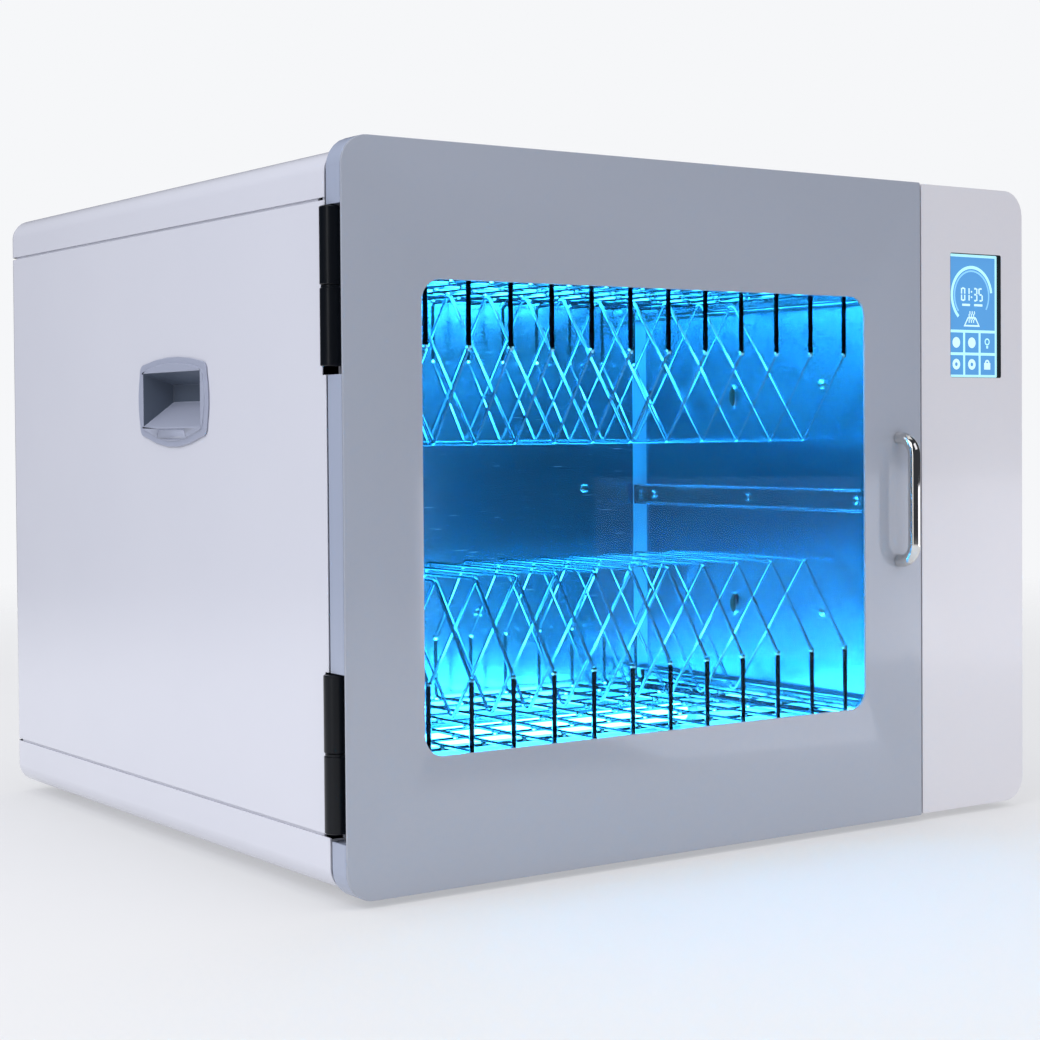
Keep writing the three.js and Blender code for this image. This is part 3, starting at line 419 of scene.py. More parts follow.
def wireTree():
    # sweeps a round wire along drawn edges, then repeats it in a row
    tree, given = startTree("wire_row", {"Radius": "Float", "Bend": "Float", "Count": "Int", "Step": "Vector",
                                         "Sides": "Int", "Material": "Material"})
    lines = put(tree, "GeometryNodeMeshToCurve", links={"Mesh": given["Geometry"]})
    bent = put(tree, "GeometryNodeFilletCurve", {"Count": 5, "Limit Radius": True},
               {"Curve": lines.outputs[0], "Radius": given["Bend"]}, mode="POLY")
    section = put(tree, "GeometryNodeCurvePrimitiveCircle",
                  links={"Radius": given["Radius"], "Resolution": given["Sides"]})
    swept = put(tree, "GeometryNodeCurveToMesh", {"Fill Caps": True},
                {"Curve": bent.outputs[0], "Profile Curve": section.outputs[0]})
    smooth = put(tree, "GeometryNodeSetShadeSmooth", links={"Geometry": swept.outputs[0]})
    row = put(tree, "GeometryNodeMeshLine", links={"Count": given["Count"], "Offset": given["Step"]})
    copies = put(tree, "GeometryNodeInstanceOnPoints",
                 links={"Points": row.outputs[0], "Instance": smooth.outputs[0]})
    endTree(tree, copies.outputs[0], given["Material"])
    return tree


def scatterTree():
    # sets one small piece on every point, its top turned to the stored facing
    tree, given = startTree("fasteners", {"Piece": "Object", "Material": "Material"})
    piece = put(tree, "GeometryNodeObjectInfo", links={"Object": given["Piece"]})
    facing = put(tree, "GeometryNodeInputNamedAttribute", {"Name": "facing"}, data_type="FLOAT_VECTOR")
    turn = put(tree, "FunctionNodeAlignRotationToVector", links={"Vector": facing.outputs[0]}, axis="Z")
    copies = put(tree, "GeometryNodeInstanceOnPoints",
                 links={"Points": given["Geometry"], "Instance": piece.outputs["Geometry"],
                        "Rotation": turn.outputs[0]})
    endTree(tree, copies.outputs[0], given["Material"])
    return tree


wireRow = wireTree()
fasteners = scatterTree()


def edgesObject(name, chains):
    # chains of points joined by edges; a chain whose last point is None closes on itself
    mesh = bpy.data.meshes.new(name)
    points, edges = [], []
    for chain in chains:
        closed = chain[-1] is None
        kept = chain[:-1] if closed else chain
        start = len(points)
        points += kept
        edges += [(start + i, start + i + 1) for i in range(len(kept) - 1)]
        if closed:
            edges.append((start + len(kept) - 1, start))
    mesh.from_pydata(points, edges, [])
    return linkedObject(name, mesh)


def wires(name, chains, radius, bend, finish, count=1, step=(0, 0, 0), sides=12):
    values = {"Radius": radius, "Bend": bend, "Count": count, "Step": step, "Sides": sides, "Material": finish}
    return grown(edgesObject(name + "_lines", chains), wireRow, values, name)


def scattered(name, piece, places, finish):
    # places are (point, facing) pairs
    mesh = bpy.data.meshes.new(name + "_points")
    mesh.from_pydata([point for point, facing in places], [], [])
    attribute = mesh.attributes.new("facing", "FLOAT_VECTOR", "POINT")
    attribute.data.foreach_set("vector", [c for point, facing in places for c in facing])
    return grown(linkedObject(name + "_points", mesh), fasteners, {"Piece": piece, "Material": finish}, name)


caseLook = {"seamEdge": 0.5, "frameEdge": 0.4, "footLip": 2.4, "footTaper": 1.0}  # millimetres


def makeCase():
    for node in ("top_cover", "base_cover", "left_side_panel", "right_side_panel", "back_panel"):
        softened(node, caseLook["seamEdge"], whiteEnamel)
    softened("front_frame", caseLook["frameEdge"], whiteEnamel)
    for name in ("front_left", "front_right", "rear_left", "rear_right"):
        low, high, middle = corners("foot_" + name)
        radius, height = (high.x - low.x) / 2, high.z - low.z
        lip, taper = caseLook["footLip"] * mm, caseLook["footTaper"] * mm
        profile = [(0, 0.6 * mm), (radius * 0.5, 0), (radius - lip, 0), (radius - 0.7 * mm, 0.7 * mm),
                   (radius, lip), (radius - taper, height - 0.4 * mm), (radius - 1.4 * mm, height), (0, height)]
        foot = turned("foot_" + name + "_finished", profile, (middle.x, middle.y, low.z), (0, 0, 1), 40)
        place(foot, "cabinet", nitrile, ["foot_" + name])


def panHead(name, radius, height):
    # a pan head with a cross recess pressed into it
    profile = [(0, height), (radius * 0.55, height * 0.93), (radius * 0.86, height * 0.66),
               (radius, height * 0.25), (radius, 0), (0, 0)]
    head = turned(name, profile, (0, 0, 0), (0, 0, 1), 20)
    recess = bpy.data.meshes.new(name + "_recess")
    work = bmesh.new()
    for turn in (0, math.pi / 2):
        made = bmesh.ops.create_cube(work, size=1)["verts"]
        bmesh.ops.scale(work, vec=(radius * 1.05, radius * 0.2, height), verts=made)
        bmesh.ops.rotate(work, matrix=Matrix.Rotation(turn, 3, "Z"), verts=made)
        bmesh.ops.translate(work, vec=(0, 0, height), verts=made)
    work.to_mesh(recess)
    work.free()
    cutter = linkedObject(name + "_recess", recess)
    finished = carved(head, cutter)
    finished.hide_render = True
    return finished


carryLook = {"edge": 0.8, "tabLow": 50.0, "tabTop": 42.0, "tabTall": 6.4, "tabUp": 9.3,
             "groove": 0.9, "deep": 0.5, "shade": 3.2}  # millimetres


def makeCarryHandles():
    for side, outward in (("left", -1), ("right", 1)):
        node = side + "_carry_handle"
        body = softenedCopy(nodes[node], node + "_finished", carryLook["edge"], 3, 30)
        low, high, middle = corners(node)
        face = low.x if outward < 0 else high.x
        # the pull tab on the lower edge stands inside a fine groove
        z = low.z + carryLook["tabUp"] * mm
        rims = []
        for out in (carryLook["groove"] * mm, 0):
            wide, narrow = carryLook["tabLow"] * mm / 2 + out, carryLook["tabTop"] * mm / 2 + out
            tall = carryLook["tabTall"] * mm / 2 + out
            rims.append([(middle.y - wide, z - tall), (middle.y + wide, z - tall),
                         (middle.y + narrow, z + tall), (middle.y - narrow, z + tall)])
        inner, outer = sorted((-(face + outward * mm), -(face - outward * carryLook["deep"] * mm)))
        groove = plate(node + "_groove", rims, inner, outer)
        # the outline was drawn facing the front; a quarter turn faces it out of the side
        groove.data.transform(Matrix.Rotation(math.pi / 2, 4, "Z"))
        grip = carved(body, groove)
        grip.data.materials.clear()
        for finish in (carryAbs, carryPaintedShade):
            grip.data.materials.append(finish)
        # the walls and ceiling of the pocket get a darker grey than its bezel and ramp: painted shade for the
        # recess
        for polygon in grip.data.polygons:
            deepForPaintedShade = (face - polygon.center.x) * outward > carryLook["shade"] * mm
            polygon.material_index = 1 if deepForPaintedShade and polygon.normal.z < 0.3 else 0
        place(grip, "cabinet", None, [node])


def carved(piece, cutter):
    name = piece.name
    cut = piece.modifiers.new("cut", "BOOLEAN")
    cut.object = cutter
    cut.operation = "DIFFERENCE"
    cut.solver = "MANIFOLD"
    finished = settled(piece, name)
    bpy.data.objects.remove(cutter)
    return finished


doorLook = {"corner": 20.0, "tight": 1.5, "faceBevel": 0.5, "windowCorner": 15.0, "glassLap": 25.0}


def makeDoor():
    low, high = corners("door_face")[:2]
    paneLow, paneHigh = corners("window_glass")[:2]
    lap = doorLook["glassLap"] * mm
    corner, tight = doorLook["corner"] * mm, doorLook["tight"] * mm
    outside = outlinePoints(low.x, high.x, low.z, high.z, [corner, tight, tight, corner], 20)
    window = outlinePoints(paneLow.x + lap, paneHigh.x - lap, paneLow.z + lap, paneHigh.z - lap,
                           [doorLook["windowCorner"] * mm] * 4, 16)
    face = plate("door_face_finished", [outside, window], low.y, high.y, doorLook["faceBevel"] * mm, 3)
    place(face, "door", doorEnamel, ["door_face"])
    softened("door_frame", 0.7, doorEdgeWhite, 2)
    softened("window_glass", 0.25, paneGlass, 1)
    softened("door_liner", 0.3, brushedX, 1)
    softened("door_seal", 1.3, nitrile, 3)
    softened("magnet_striker", 0.4, zincPlate)
    for i in (1, 2):
        softened(f"handle_screw_{i}", 0.4, zincPlate)


pullLook = {"radius": 4.85, "bend": 14.0}


def makePull():
    low, high, middle = corners("door_handle")
    radius, bend = pullLook["radius"] * mm, pullLook["bend"] * mm
    x, front, back = middle.x, low.y + radius, high.y
    bottom, top = low.z + radius, high.z - radius
    path = [(x, back, bottom)]
    for k in range(17):
        angle = (math.pi / 2) * k / 16
        path.append((x, front + bend - bend * math.sin(angle), bottom + bend - bend * math.cos(angle)))
    for k in range(17):
        angle = (math.pi / 2) * k / 16
        path.append((x, front + bend - bend * math.cos(angle), top - bend + bend * math.sin(angle)))
    path.append((x, back, top))
    bar = roundedBar("door_handle_finished", path, radius, 32)
    place(bar, "door", chrome, ["door_handle"])


hingeLook = {
    "chamfer": 0.5,  # millimetres
    "washer": 0.7,
    "gap": 2.0,  # between the two barrels, filled by the washer
    "caseLeaf": (4.7, 6.7),  # leaf's front and back behind the axis
    "doorLeaf": (-1.0, 1.0),
    "pin": 3.0,
    "pinTip": 46.0,
}


def makeHinges():
    for level in ("lower", "upper"):
        for half in ("case", "door"):
            node = f"{level}_hinge_{half}_half"
            low, high, middle = corners(node)
            radius = (high.y - low.y) / 2
            x, y = low.x + radius, middle.y
            length, gap = high.z - low.z, hingeLook["gap"] * mm
            if half == "case":
                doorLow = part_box(f"{level}_hinge_door_half")[0]
                length = doorLow.z - gap - low.z
            chamfer = hingeLook["chamfer"] * mm
            profile = [(0, 0), (radius - chamfer, 0), (radius, chamfer), (radius, length - chamfer),
                       (radius - chamfer, length), (0, length)]
            parts = [turned(node + "_barrel", profile, (x, y, low.z), (0, 0, 1), 56)]
            front, back = (y + depth * mm for depth in hingeLook[half + "Leaf"])
            rim = outlinePoints(x, high.x, low.z + gap, low.z + length - gap,
                                [0.4 * mm, 2.5 * mm, 2.5 * mm, 0.4 * mm], 6)
            parts.append(plate(node + "_leaf", [rim], front, back, 0.25 * mm, 1))
            if half == "case":
                washer = radius - hingeLook["washer"] * mm
                pin, tip = hingeLook["pin"] * mm, hingeLook["pinTip"] * mm
                profile = [(0, 0), (washer, 0), (washer, 2.6 * mm), (pin, 2.6 * mm), (pin, tip),
                           (pin - 1 * mm, tip + 1.5 * mm), (0, tip + 1.5 * mm)]
                parts.append(turned(node + "_pin", profile, (x, y, low.z + length - 1 * mm), (0, 0, 1), 32))
            for part in parts:
                part.data.materials.append(blackZinc)
            place(merged(node + "_finished", parts), bodyOf[node], None, [node])


chamberLook = {"wall": 0.8, "cornerWidth": 8.8, "portTall": 10.5, "portWide": 3.8,
               "portBack": 197.0, "portUp": (162.0, 340.0)}  # millimetres


def makeChamber():
    nodes["chamber_liner"].data.materials.clear()
    nodes["chamber_liner"].data.materials.append(brushedX)
    low, high = corners("chamber_liner")[:2]
    wall = chamberLook["wall"] * mm
    inner = {"left": low.x + wall, "right": high.x - wall, "back": high.y - wall,
             "floor": low.z + wall, "ceiling": high.z - wall}
    # folded upright strips close the two back corners
    width, clear = chamberLook["cornerWidth"] * mm, 0.3 * mm
    for side, x, turn in (("left", inner["left"], 1), ("right", inner["right"], -1)):
        profile = [(x, inner["back"] - width), (x + turn * width, inner["back"]), (x, inner["back"])]
        strip = upright("chamber_corner_" + side, profile, inner["floor"] + clear, inner["ceiling"] - clear)
        place(strip, "cabinet", cornerSteel)
    for level in ("lower", "middle", "upper"):
        for side in ("left", "right"):
            softened(f"{level}_rail_{side}", 0.35, brushedY, 2)
    return inner


def upright(name, section, z0, z1):
    # a section in x and y stood up from z0 to z1
    work = bmesh.new()
    bottom = [work.verts.new((x, y, z0)) for x, y in section]
    top = [work.verts.new((x, y, z1)) for x, y in section]
    count = len(section)
    for k in range(count):
        work.faces.new((bottom[k], bottom[(k + 1) % count], top[(k + 1) % count], top[k]))
    work.faces.new(bottom[::-1])
    work.faces.new(top)
    bmesh.ops.recalc_face_normals(work, faces=work.faces)
    mesh = bpy.data.meshes.new(name)
    work.to_mesh(mesh)
    work.free()
    return smoothed(linkedObject(name, mesh), 32)


def makePorts(inner):
    # leaf-shaped louvres over the air ports in the right wall: a black hood inside a bright rim, the black hood
    # being painted shade for the dark inside of the opening
    front = corners("door_face")[0].y
    tall, wide = chamberLook["portTall"] * mm, chamberLook["portWide"] * mm
    rims, paintedShadeHoods = [], []
    for i, up in enumerate(chamberLook["portUp"]):
        centre = Vector((inner["right"], front + chamberLook["portBack"] * mm, up * mm))
        narrow = Matrix.Diagonal((1, wide / tall, 1, 1))
        squeeze = Matrix.Translation(centre) @ narrow @ Matrix.Translation(-centre)
        rimProfile = [(0, 0), (tall, 0), (tall, 1.0 * mm), (tall - 1.6 * mm, 2.2 * mm), (0, 2.2 * mm)]
        hoodProfile = [(0, 2.0 * mm), (tall - 2.2 * mm, 2.0 * mm), (tall - 3.5 * mm, 3.0 * mm),
                       (tall * 0.4, 4.6 * mm), (0, 5.0 * mm)]
        rim = turned(f"port_rim_{i}", rimProfile, centre, (-1, 0, 0), 48)
        hood = turned(f"port_hood_{i}", hoodProfile, centre, (-1, 0, 0), 48)
        for piece in (rim, hood):
            piece.data.transform(squeeze)
        rim.data.materials.append(brushedY)
        # the hood's black is painted shade for the dark inside of the louvre's opening
        hood.data.materials.append(nitrile)
        rims.append(rim)
        paintedShadeHoods.append(hood)
    place(merged("chamber_ports", rims + paintedShadeHoods), "cabinet")


lampLook = {"cap": 15.0, "neck": 0.8, "shoulder": 3.0, "edge": 1.0, "crimp": 0.6}  # millimetres


def makeLamps():
    for level in ("lower", "upper"):
        for i in (1, 2):
            node = f"{level}_uv_tube_{i}"
            low, high, middle = corners(node)
            half = (high.x - low.x) / 2
            radius = (high.z - low.z) / 2
            cap, neck = lampLook["cap"] * mm, radius - lampLook["neck"] * mm
            shoulder, edge = lampLook["shoulder"] * mm, lampLook["edge"] * mm
            profile = [(0, -half + cap - shoulder), (neck * 0.8, -half + cap - shoulder), (neck, -half + cap),
                       (neck, half - cap), (neck * 0.8, half - cap + shoulder), (0, half - cap + shoulder)]
            glass = turned(node + "_glass", profile, middle, (1, 0, 0), 28)
            glass.data.materials.append(lampGlow)
            parts = [glass]
            for end in (-1, 1):
                crimp = radius - lampLook["crimp"] * mm
                profile = [(0, end * half), (radius - edge, end * half), (radius, end * (half - edge)),
                           (radius, end * (half - cap + edge)), (crimp, end * (half - cap)),
                           (0, end * (half - cap))]
                shell = turned(f"{node}_cap_{end}", profile, middle, (1, 0, 0), 28)
                shell.data.materials.append(reflector)
                parts.append(shell)
            place(merged(node + "_finished", parts), "cabinet", None, [node])
        softened(level + "_lamp_tray", 0.3, reflector, 1)
        for side in ("left", "right"):
            softened(f"{level}_lampholder_{side}", 0.8, ceramic, 2)


rackLook = {
    "post": 1.85,  # radii, millimetres
    "slant": 1.45,
    "bend": 5.0,
    "count": 13,
    "margin": 11.1,  # runner's inner face to the first divider
    "kink": 50.0,
    "shoulder": 47.0,
    "crossWires": 8,
    "runner": 5.0,
    "runnerTall": 12.6,
}


def makeRack(node, up):
    low, high, middle = corners(node)
    wire, slant = rackLook["post"] * mm, rackLook["slant"] * mm
    runnerHalf = rackLook["runnerTall"] * mm / 2
    base = low.z + runnerHalf if up > 0 else high.z - runnerHalf
    crown = high.z - slant if up > 0 else low.z + slant
    front, back = low.y + wire, high.y - wire
    runner = rackLook["runner"] * mm
    first = low.x + runner + rackLook["margin"] * mm
    last = high.x - runner - rackLook["margin"] * mm
    count = rackLook["count"]
    pitch = (last - first) / (count - 1)
    kink = base + up * rackLook["kink"] * mm
    lean = rackLook["shoulder"] * mm
    post = [(first, front, kink), (first, front, base - up * wire)]
    hoop = [(first, front, base), (first, back, base), (first, back, kink)]
    roof = [(first, front, kink), (first, front + lean, crown),
            (first, back - lean, crown), (first, back, kink)]
    tuck = 1.2 * mm
    brace = [(first, front + lean + tuck, crown - up * tuck), (first, middle.y, base + up * tuck),
             (first, back - lean - tuck, crown - up * tuck)]
    bend = rackLook["bend"] * mm
    # the posts, hoops and grid take the darker painted-shade copies of the wire finish; only the slants keep
    # the plain wire finish
    posts = wires(node + "_posts", [post], wire, 0.0, wirePaintedDarkShade, count, (pitch, 0, 0))
    hoops = wires(node + "_hoops", [hoop], slant, bend, wirePaintedShade, count, (pitch, 0, 0))
    slants = wires(node + "_slants", [roof, brace], slant, bend, wireChrome, count, (pitch, 0, 0))
    crossStep = (back - front) / (rackLook["crossWires"] - 1)
    crossLevel = base - up * 0.9 * (wire + slant)
    cross = [(low.x + runner / 2, front, crossLevel), (high.x - runner / 2, front, crossLevel)]
    grid = wires(node + "_grid", [cross], slant * 0.9, 0.0, wirePaintedShade, rackLook["crossWires"], (0, crossStep, 0))
    # weld nuggets where the uprights meet the shoulders and where the grid crosses
    bead = [(0, 2.6 * mm), (1.7 * mm, 1.8 * mm), (2.3 * mm, 0), (1.7 * mm, -1.8 * mm), (0, -2.6 * mm)]
    nugget = turned("weld_nugget", bead, (0, 0, 0), (0, 0, 1), 10)
    nugget.hide_render = True
    spots = []
    for i in range(count):
        x = first + i * pitch
        spots += [((x, front, kink), (0, 0, 1)), ((x, back, kink), (0, 0, 1))]
        for k in range(rackLook["crossWires"]):
            spots.append(((x, front + k * crossStep, (base + crossLevel) / 2), (1, 0, 0)))
    welds = scattered(node + "_welds", nugget, spots, chrome)
    bpy.data.objects.remove(nugget)
    bars = []
    for i, x in enumerate((low.x, high.x - runner)):
        rim = outlinePoints(x, x + runner, base - runnerHalf, base + runnerHalf, [1.6 * mm] * 4, 5)
        bars.append(plate(f"{node}_runner_{i}", [rim], low.y, high.y, 0.6 * mm, 2))
        bars[-1].data.materials.append(brushedY)
    rack = merged(node + "_wires", [posts, hoops, slants, grid, welds] + bars)
    place(rack, bodyOf[node], None, [node])


screenLook = {
    "border": 2.2,  # millimetres
    "line": 2.2,
    "divider": 37.2,  # up from the screen's lower edge
    "row": 19.0,
    "gaugeUp": 66.0,
    "gauge": (21.6, 24.1, 7, 228),  # inner and outer radius, then start and end in degrees
    "gaugeInner": (19.2, 20.5, -33, 219),
    "digit": (5.0, 11.0, 1.35),  # width, height and stroke
    "digitStarts": (-12.4, -7.4, 1.6, 7.8),
    "digitLift": 1.0,
    "bars": ((-11, -2), (2.8, 12.4)),
    "key": 4.3,
    "lip": 0.25,
}


def rectangle(x0, x1, z0, z1):
    return [(x0, z0), (x1, z0), (x1, z1), (x0, z1)]


def arcBand(x, z, inner, outer, start, end, steps=28):
    angles = [math.radians(start + (end - start) * k / steps) for k in range(steps + 1)]
    return ([(x + outer * math.cos(a), z + outer * math.sin(a)) for a in angles]
            + [(x + inner * math.cos(a), z + inner * math.sin(a)) for a in reversed(angles)])


def disc(x, z, radius, steps=28):
    turns = [2 * math.pi * k / steps for k in range(steps)]
    return [(x + radius * math.cos(turn), z + radius * math.sin(turn)) for turn in turns]


def segments(x, z, width, height, stroke, lit):
    # the lit bars of one seven-bar digit, lower left corner at x, z
    half = height / 2
    bars = {
        "a": (x + stroke, x + width - stroke, z + height - stroke, z + height),
        "b": (x + width - stroke, x + width, z + half + stroke * 0.3, z + height - stroke * 0.4),
        "c": (x + width - stroke, x + width, z + stroke * 0.4, z + half - stroke * 0.3),
        "d": (x + stroke, x + width - stroke, z, z + stroke),
        "e": (x, x + stroke, z + stroke * 0.4, z + half - stroke * 0.3),
        "f": (x, x + stroke, z + half + stroke * 0.3, z + height - stroke * 0.4),
        "g": (x + stroke, x + width - stroke, z + half - stroke / 2, z + half + stroke / 2),
    }
    return [rectangle(*bars[name]) for name in lit]


digitBars = {"0": "abcdef", "1": "bc", "3": "abgcd", "5": "afgcd"}


def makeScreenSurround():
    # a black gasket fills the reveal between the fascia's face and the glass
    glassLow, glassHigh = corners("touchscreen")[:2]
    bezelLow, bezelHigh = corners("screen_bezel")[:2]
    face = corners("control_fascia")[0].y
    edge = 1.0 * mm  # the glass reaches this far under the fascia
    lip = screenLook["lip"] * mm
    inside = (glassLow.x + edge + lip, glassHigh.x - edge - lip,
              glassLow.z + edge + lip, glassHigh.z - edge - lip)
    opening = (inside[0] - lip * 0.9, inside[1] + lip * 0.9, inside[2] - lip * 0.9, inside[3] + lip * 0.9)
    outside = (bezelLow.x, bezelHigh.x, bezelLow.z, bezelHigh.z)
    seat = (glassLow.x - 0.3 * mm, glassHigh.x + 0.3 * mm, glassLow.z - 0.3 * mm, glassHigh.z + 0.3 * mm)
    rings = []
    for label, outer, inner, y0, y1 in (("reveal", opening, inside, face + 0.1 * mm, bezelLow.y),
                                        ("frame", outside, inside, bezelLow.y, glassLow.y - 0.1 * mm),
                                        ("rear", outside, seat, glassLow.y - 0.1 * mm, bezelHigh.y)):
        rims = [outlinePoints(*outer, [1.5 * mm] * 4, 5), outlinePoints(*inner, [1.2 * mm] * 4, 5)]
        rings.append(plate("screen_" + label, rims, y0, y1))
    place(merged("screen_surround", rings), "cabinet", gasketBlack, ["screen_bezel"])
    return inside


def makeColumn():
    softened("control_fascia", 1.0, columnWhite, 3)
    nodes["control_board"].data.materials.clear()
    nodes["control_board"].data.materials.append(boardGreen)
    softened("touchscreen", 0.2, screenBlue, 1)
    left, right, bottom, top = makeScreenSurround()
    x = (left + right) / 2
    y = corners("touchscreen")[0].y - 0.1 * mm
    border, line = screenLook["border"] * mm, screenLook["line"] * mm
    split, row = bottom + screenLook["divider"] * mm, bottom + screenLook["row"] * mm
    drawn = []

    def draw(name, outlines, finish, lift=0.0):
        shape = flatShape("display_" + name, outlines, y - lift * mm)
        shape.data.materials.append(finish)
        drawn.append(shape)

    inner = rectangle(left + border, right - border, bottom + border, top - border)
    draw("border", [rectangle(left, right, bottom, top), inner], screenCyan)
    draw("divider", [rectangle(left + border, right - border, split - line / 2, split + line / 2)], screenCyan)
    draw("row", [rectangle(left + border, right - border, row - line / 2, row + line / 2)], screenCyan, 0.03)
    cell = (right - left - 2 * border) / 3
    for k in (1, 2):
        column = left + border + cell * k
        stripe = rectangle(column - line / 2, column + line / 2, bottom + border, split - line / 2)
        draw(f"column_{k}", [stripe], screenCyan, 0.06)
    # gauge round the clock: a broad band with a fine one inside it
    clock = bottom + screenLook["gaugeUp"] * mm
    for name, label, finish in (("gauge", "gauge", screenCyan), ("gauge_inner", "gaugeInner", screenPale)):
        near, far, start, end = screenLook[label]
        draw(name, [arcBand(x, clock, near * mm, far * mm, start, end)], finish)
    wide, tall, stroke = (size * mm for size in screenLook["digit"])
    foot = clock + screenLook["digitLift"] * mm - tall / 2
    for i, (digit, start) in enumerate(zip("0135", screenLook["digitStarts"])):
        for j, bar in enumerate(segments(x + start * mm, foot, wide, tall, stroke, digitBars[digit])):
            draw(f"digit_{i}_{j}", [bar], screenWhite, 0.02)
    for j, up in enumerate((-1.2, 3.2)):
        draw(f"colon_{j}", [disc(x - 0.2 * mm, clock + up * mm, 0.8 * mm, 12)], screenWhite, 0.02)
    for j, (start, end) in enumerate(screenLook["bars"]):
        bar = rectangle(x + start * mm, x + end * mm, clock - 8.4 * mm, clock - 6.6 * mm)
        draw(f"bar_{j}", [bar], screenWhite)
    # a heated tray with steam rising from it
    tray = split + 3.9 * mm
    slope = [(-9.4, 0), (9.4, 0), (4.6, 7.6), (-4.6, 7.6)]
    hollow = [(-7.4, 1.3), (7.4, 1.3), (3.8, 6.5), (-3.8, 6.5)]
    draw("tray", [[(x + px * mm, tray + pz * mm) for px, pz in rim] for rim in (slope, hollow)], screenWhite)
    for k in (-1, 0, 1):
        for j in range(4):
            centre = x + (k * 2.6 + (0.5 if j % 2 else -0.5)) * mm
            foot = tray + (3.0 + j * 2.3) * mm
            wisp = rectangle(centre - 0.5 * mm, centre + 0.5 * mm, foot, foot + 2.5 * mm)
            draw(f"steam_{k}_{j}", [wisp], screenWhite, 0.02)
    # six keys: two discs and a lamp above, two rings and a padlock below
    keyX = [left + border + cell * (k + 0.5) for k in range(3)]
    high, low = (row + split) / 2, (bottom + border + row) / 2
    radius = screenLook["key"] * mm
    for k in (0, 1):
        draw(f"key_disc_{k}", [disc(keyX[k], high, radius)], screenWhite)
        draw(f"key_ring_{k}", [disc(keyX[k], low, radius), disc(keyX[k], low, radius * 0.36)], screenWhite)
    last = keyX[2]
    bulb = [disc(last, high + 1 * mm, size * mm) for size in (2.9, 1.8)]
    draw("key_lamp", bulb, screenCyan)
    neck = rectangle(last - 1.1 * mm, last + 1.1 * mm, high - 4.4 * mm, high - 2.3 * mm)
    draw("key_lamp_base", [neck], screenCyan)
    draw("key_lock", [rectangle(last - 3.6 * mm, last + 3.6 * mm, low - 4 * mm, low + 1.4 * mm)], screenWhite)
    draw("key_shackle", [arcBand(last, low + 1.4 * mm, 1.2 * mm, 2.6 * mm, 0, 180, 14)], screenWhite)
    place(merged("display_graphics", drawn), "cabinet")


backLook = {"rings": (9, 16, 23, 30, 37, 41), "ringSteps": 64, "wire": 0.8}  # ring radii in millimetres


def makeBack():
    softened("fan_housing", 0.6, blackNylon, 2)
    softened("fan_rotor", 0.4, blackNylon, 2)
    low, high, middle = corners("fan_guard")
    wire = (high.y - low.y) / 2 * backLook["wire"]
    rings = []
    for radius in backLook["rings"]:
        around = disc(middle.x, middle.z, radius * mm, backLook["ringSteps"])
        rings.append([(x, middle.y, z) for x, z in around] + [None])
    guard = wires("fan_guard_rings", rings, wire, 0.0, chrome, sides=8)
    reach = backLook["rings"][-1] * mm
    spokes = []
    for turn in (math.pi / 4, -math.pi / 4):
        c, s = math.cos(turn) * reach, math.sin(turn) * reach
        spokes.append([(middle.x - c, middle.y, middle.z - s), (middle.x + c, middle.y, middle.z + s)])
    cross = wires("fan_guard_spokes", spokes, wire, 0.0, chrome, sides=8)
    place(merged("fan_guard_finished", [guard, cross]), "cabinet", None, ["fan_guard"])
    for node in ("power_inlet", "power_switch_body", "power_switch_rocker", "door_switch", "door_magnet"):
        softened(node, 0.4, blackAbs, 2)
    softened("door_switch_plunger", 0.4, ceramic, 2)
    for node in ("lamp_ballast_upper", "lamp_ballast_lower"):
        softened(node, 1.5, zincPlate, 2)
    softened("power_supply", 1.0, reflector, 2)


fastenerLook = {
    "frontWall": 47.5,  # behind the lower rack's front, millimetres
    "wallUp": (-92, 94),  # from the chamber's middle
    "backWall": ((54, -99), (169, 6), (-61, 6), (-176, -99)),
    "railEnds": (14, 18),
    "panelInset": (12, 9),
    "fanHoles": 36,
}


def makeFasteners(inner):
    small = panHead("chamber_screw", 4.2 * mm, 2.6 * mm)
    centreX = (inner["left"] + inner["right"]) / 2
    centreZ = (inner["floor"] + inner["ceiling"]) / 2
    wallY = corners("lower_rack")[0].y + fastenerLook["frontWall"] * mm
    spots = []
    for up in fastenerLook["wallUp"]:
        z = centreZ + up * mm
        spots += [((inner["right"], wallY, z), (-1, 0, 0)), ((inner["left"], wallY, z), (1, 0, 0))]
    for sideways, up in fastenerLook["backWall"]:
        spots.append(((centreX + sideways * mm, inner["back"], centreZ + up * mm), (0, -1, 0)))
    for level in ("lower", "middle", "upper"):
        for side, facing in (("left", 1), ("right", -1)):
            low, high, middle = corners(f"{level}_rail_{side}")
            web = low.x + 1.5 * mm if side == "left" else high.x - 1.5 * mm
            frontEnd, backEnd = fastenerLook["railEnds"]
            for y in (low.y + frontEnd * mm, middle.y, high.y - backEnd * mm):
                spots.append(((web, y, middle.z), (facing, 0, 0)))
    place(scattered("chamber_screws", small, spots, chrome), "cabinet")
    bpy.data.objects.remove(small)
    large = panHead("cover_screw", 3.6 * mm, 1.3 * mm)
    low, high, middle = corners("back_panel")
    spots = []
    insetX, insetZ = (inset * mm for inset in fastenerLook["panelInset"])
    for x in (low.x + insetX, middle.x, high.x - insetX):
        for z in (low.z + insetZ, high.z - insetZ):
            spots.append(((x, high.y, z), (0, 1, 0)))
    fan = corners("fan_housing")[2]
    hole = fastenerLook["fanHoles"]
    for sx in (-1, 1):
        for sz in (-1, 1):
            spots.append(((fan.x + sx * hole * mm, high.y, fan.z + sz * hole * mm), (0, 1, 0)))
    place(scattered("back_screws", large, spots, zincPlate), "cabinet")
    bpy.data.objects.remove(large)


view = {
    "place": (-0.9907, -1.4434, 0.3116),  # metres; the angles are in degrees
    "turn": 34.81,
    "tilt": -1.34,
    "roll": -0.43,
    "lens": 71.81,
    "shift": -0.0387,
}


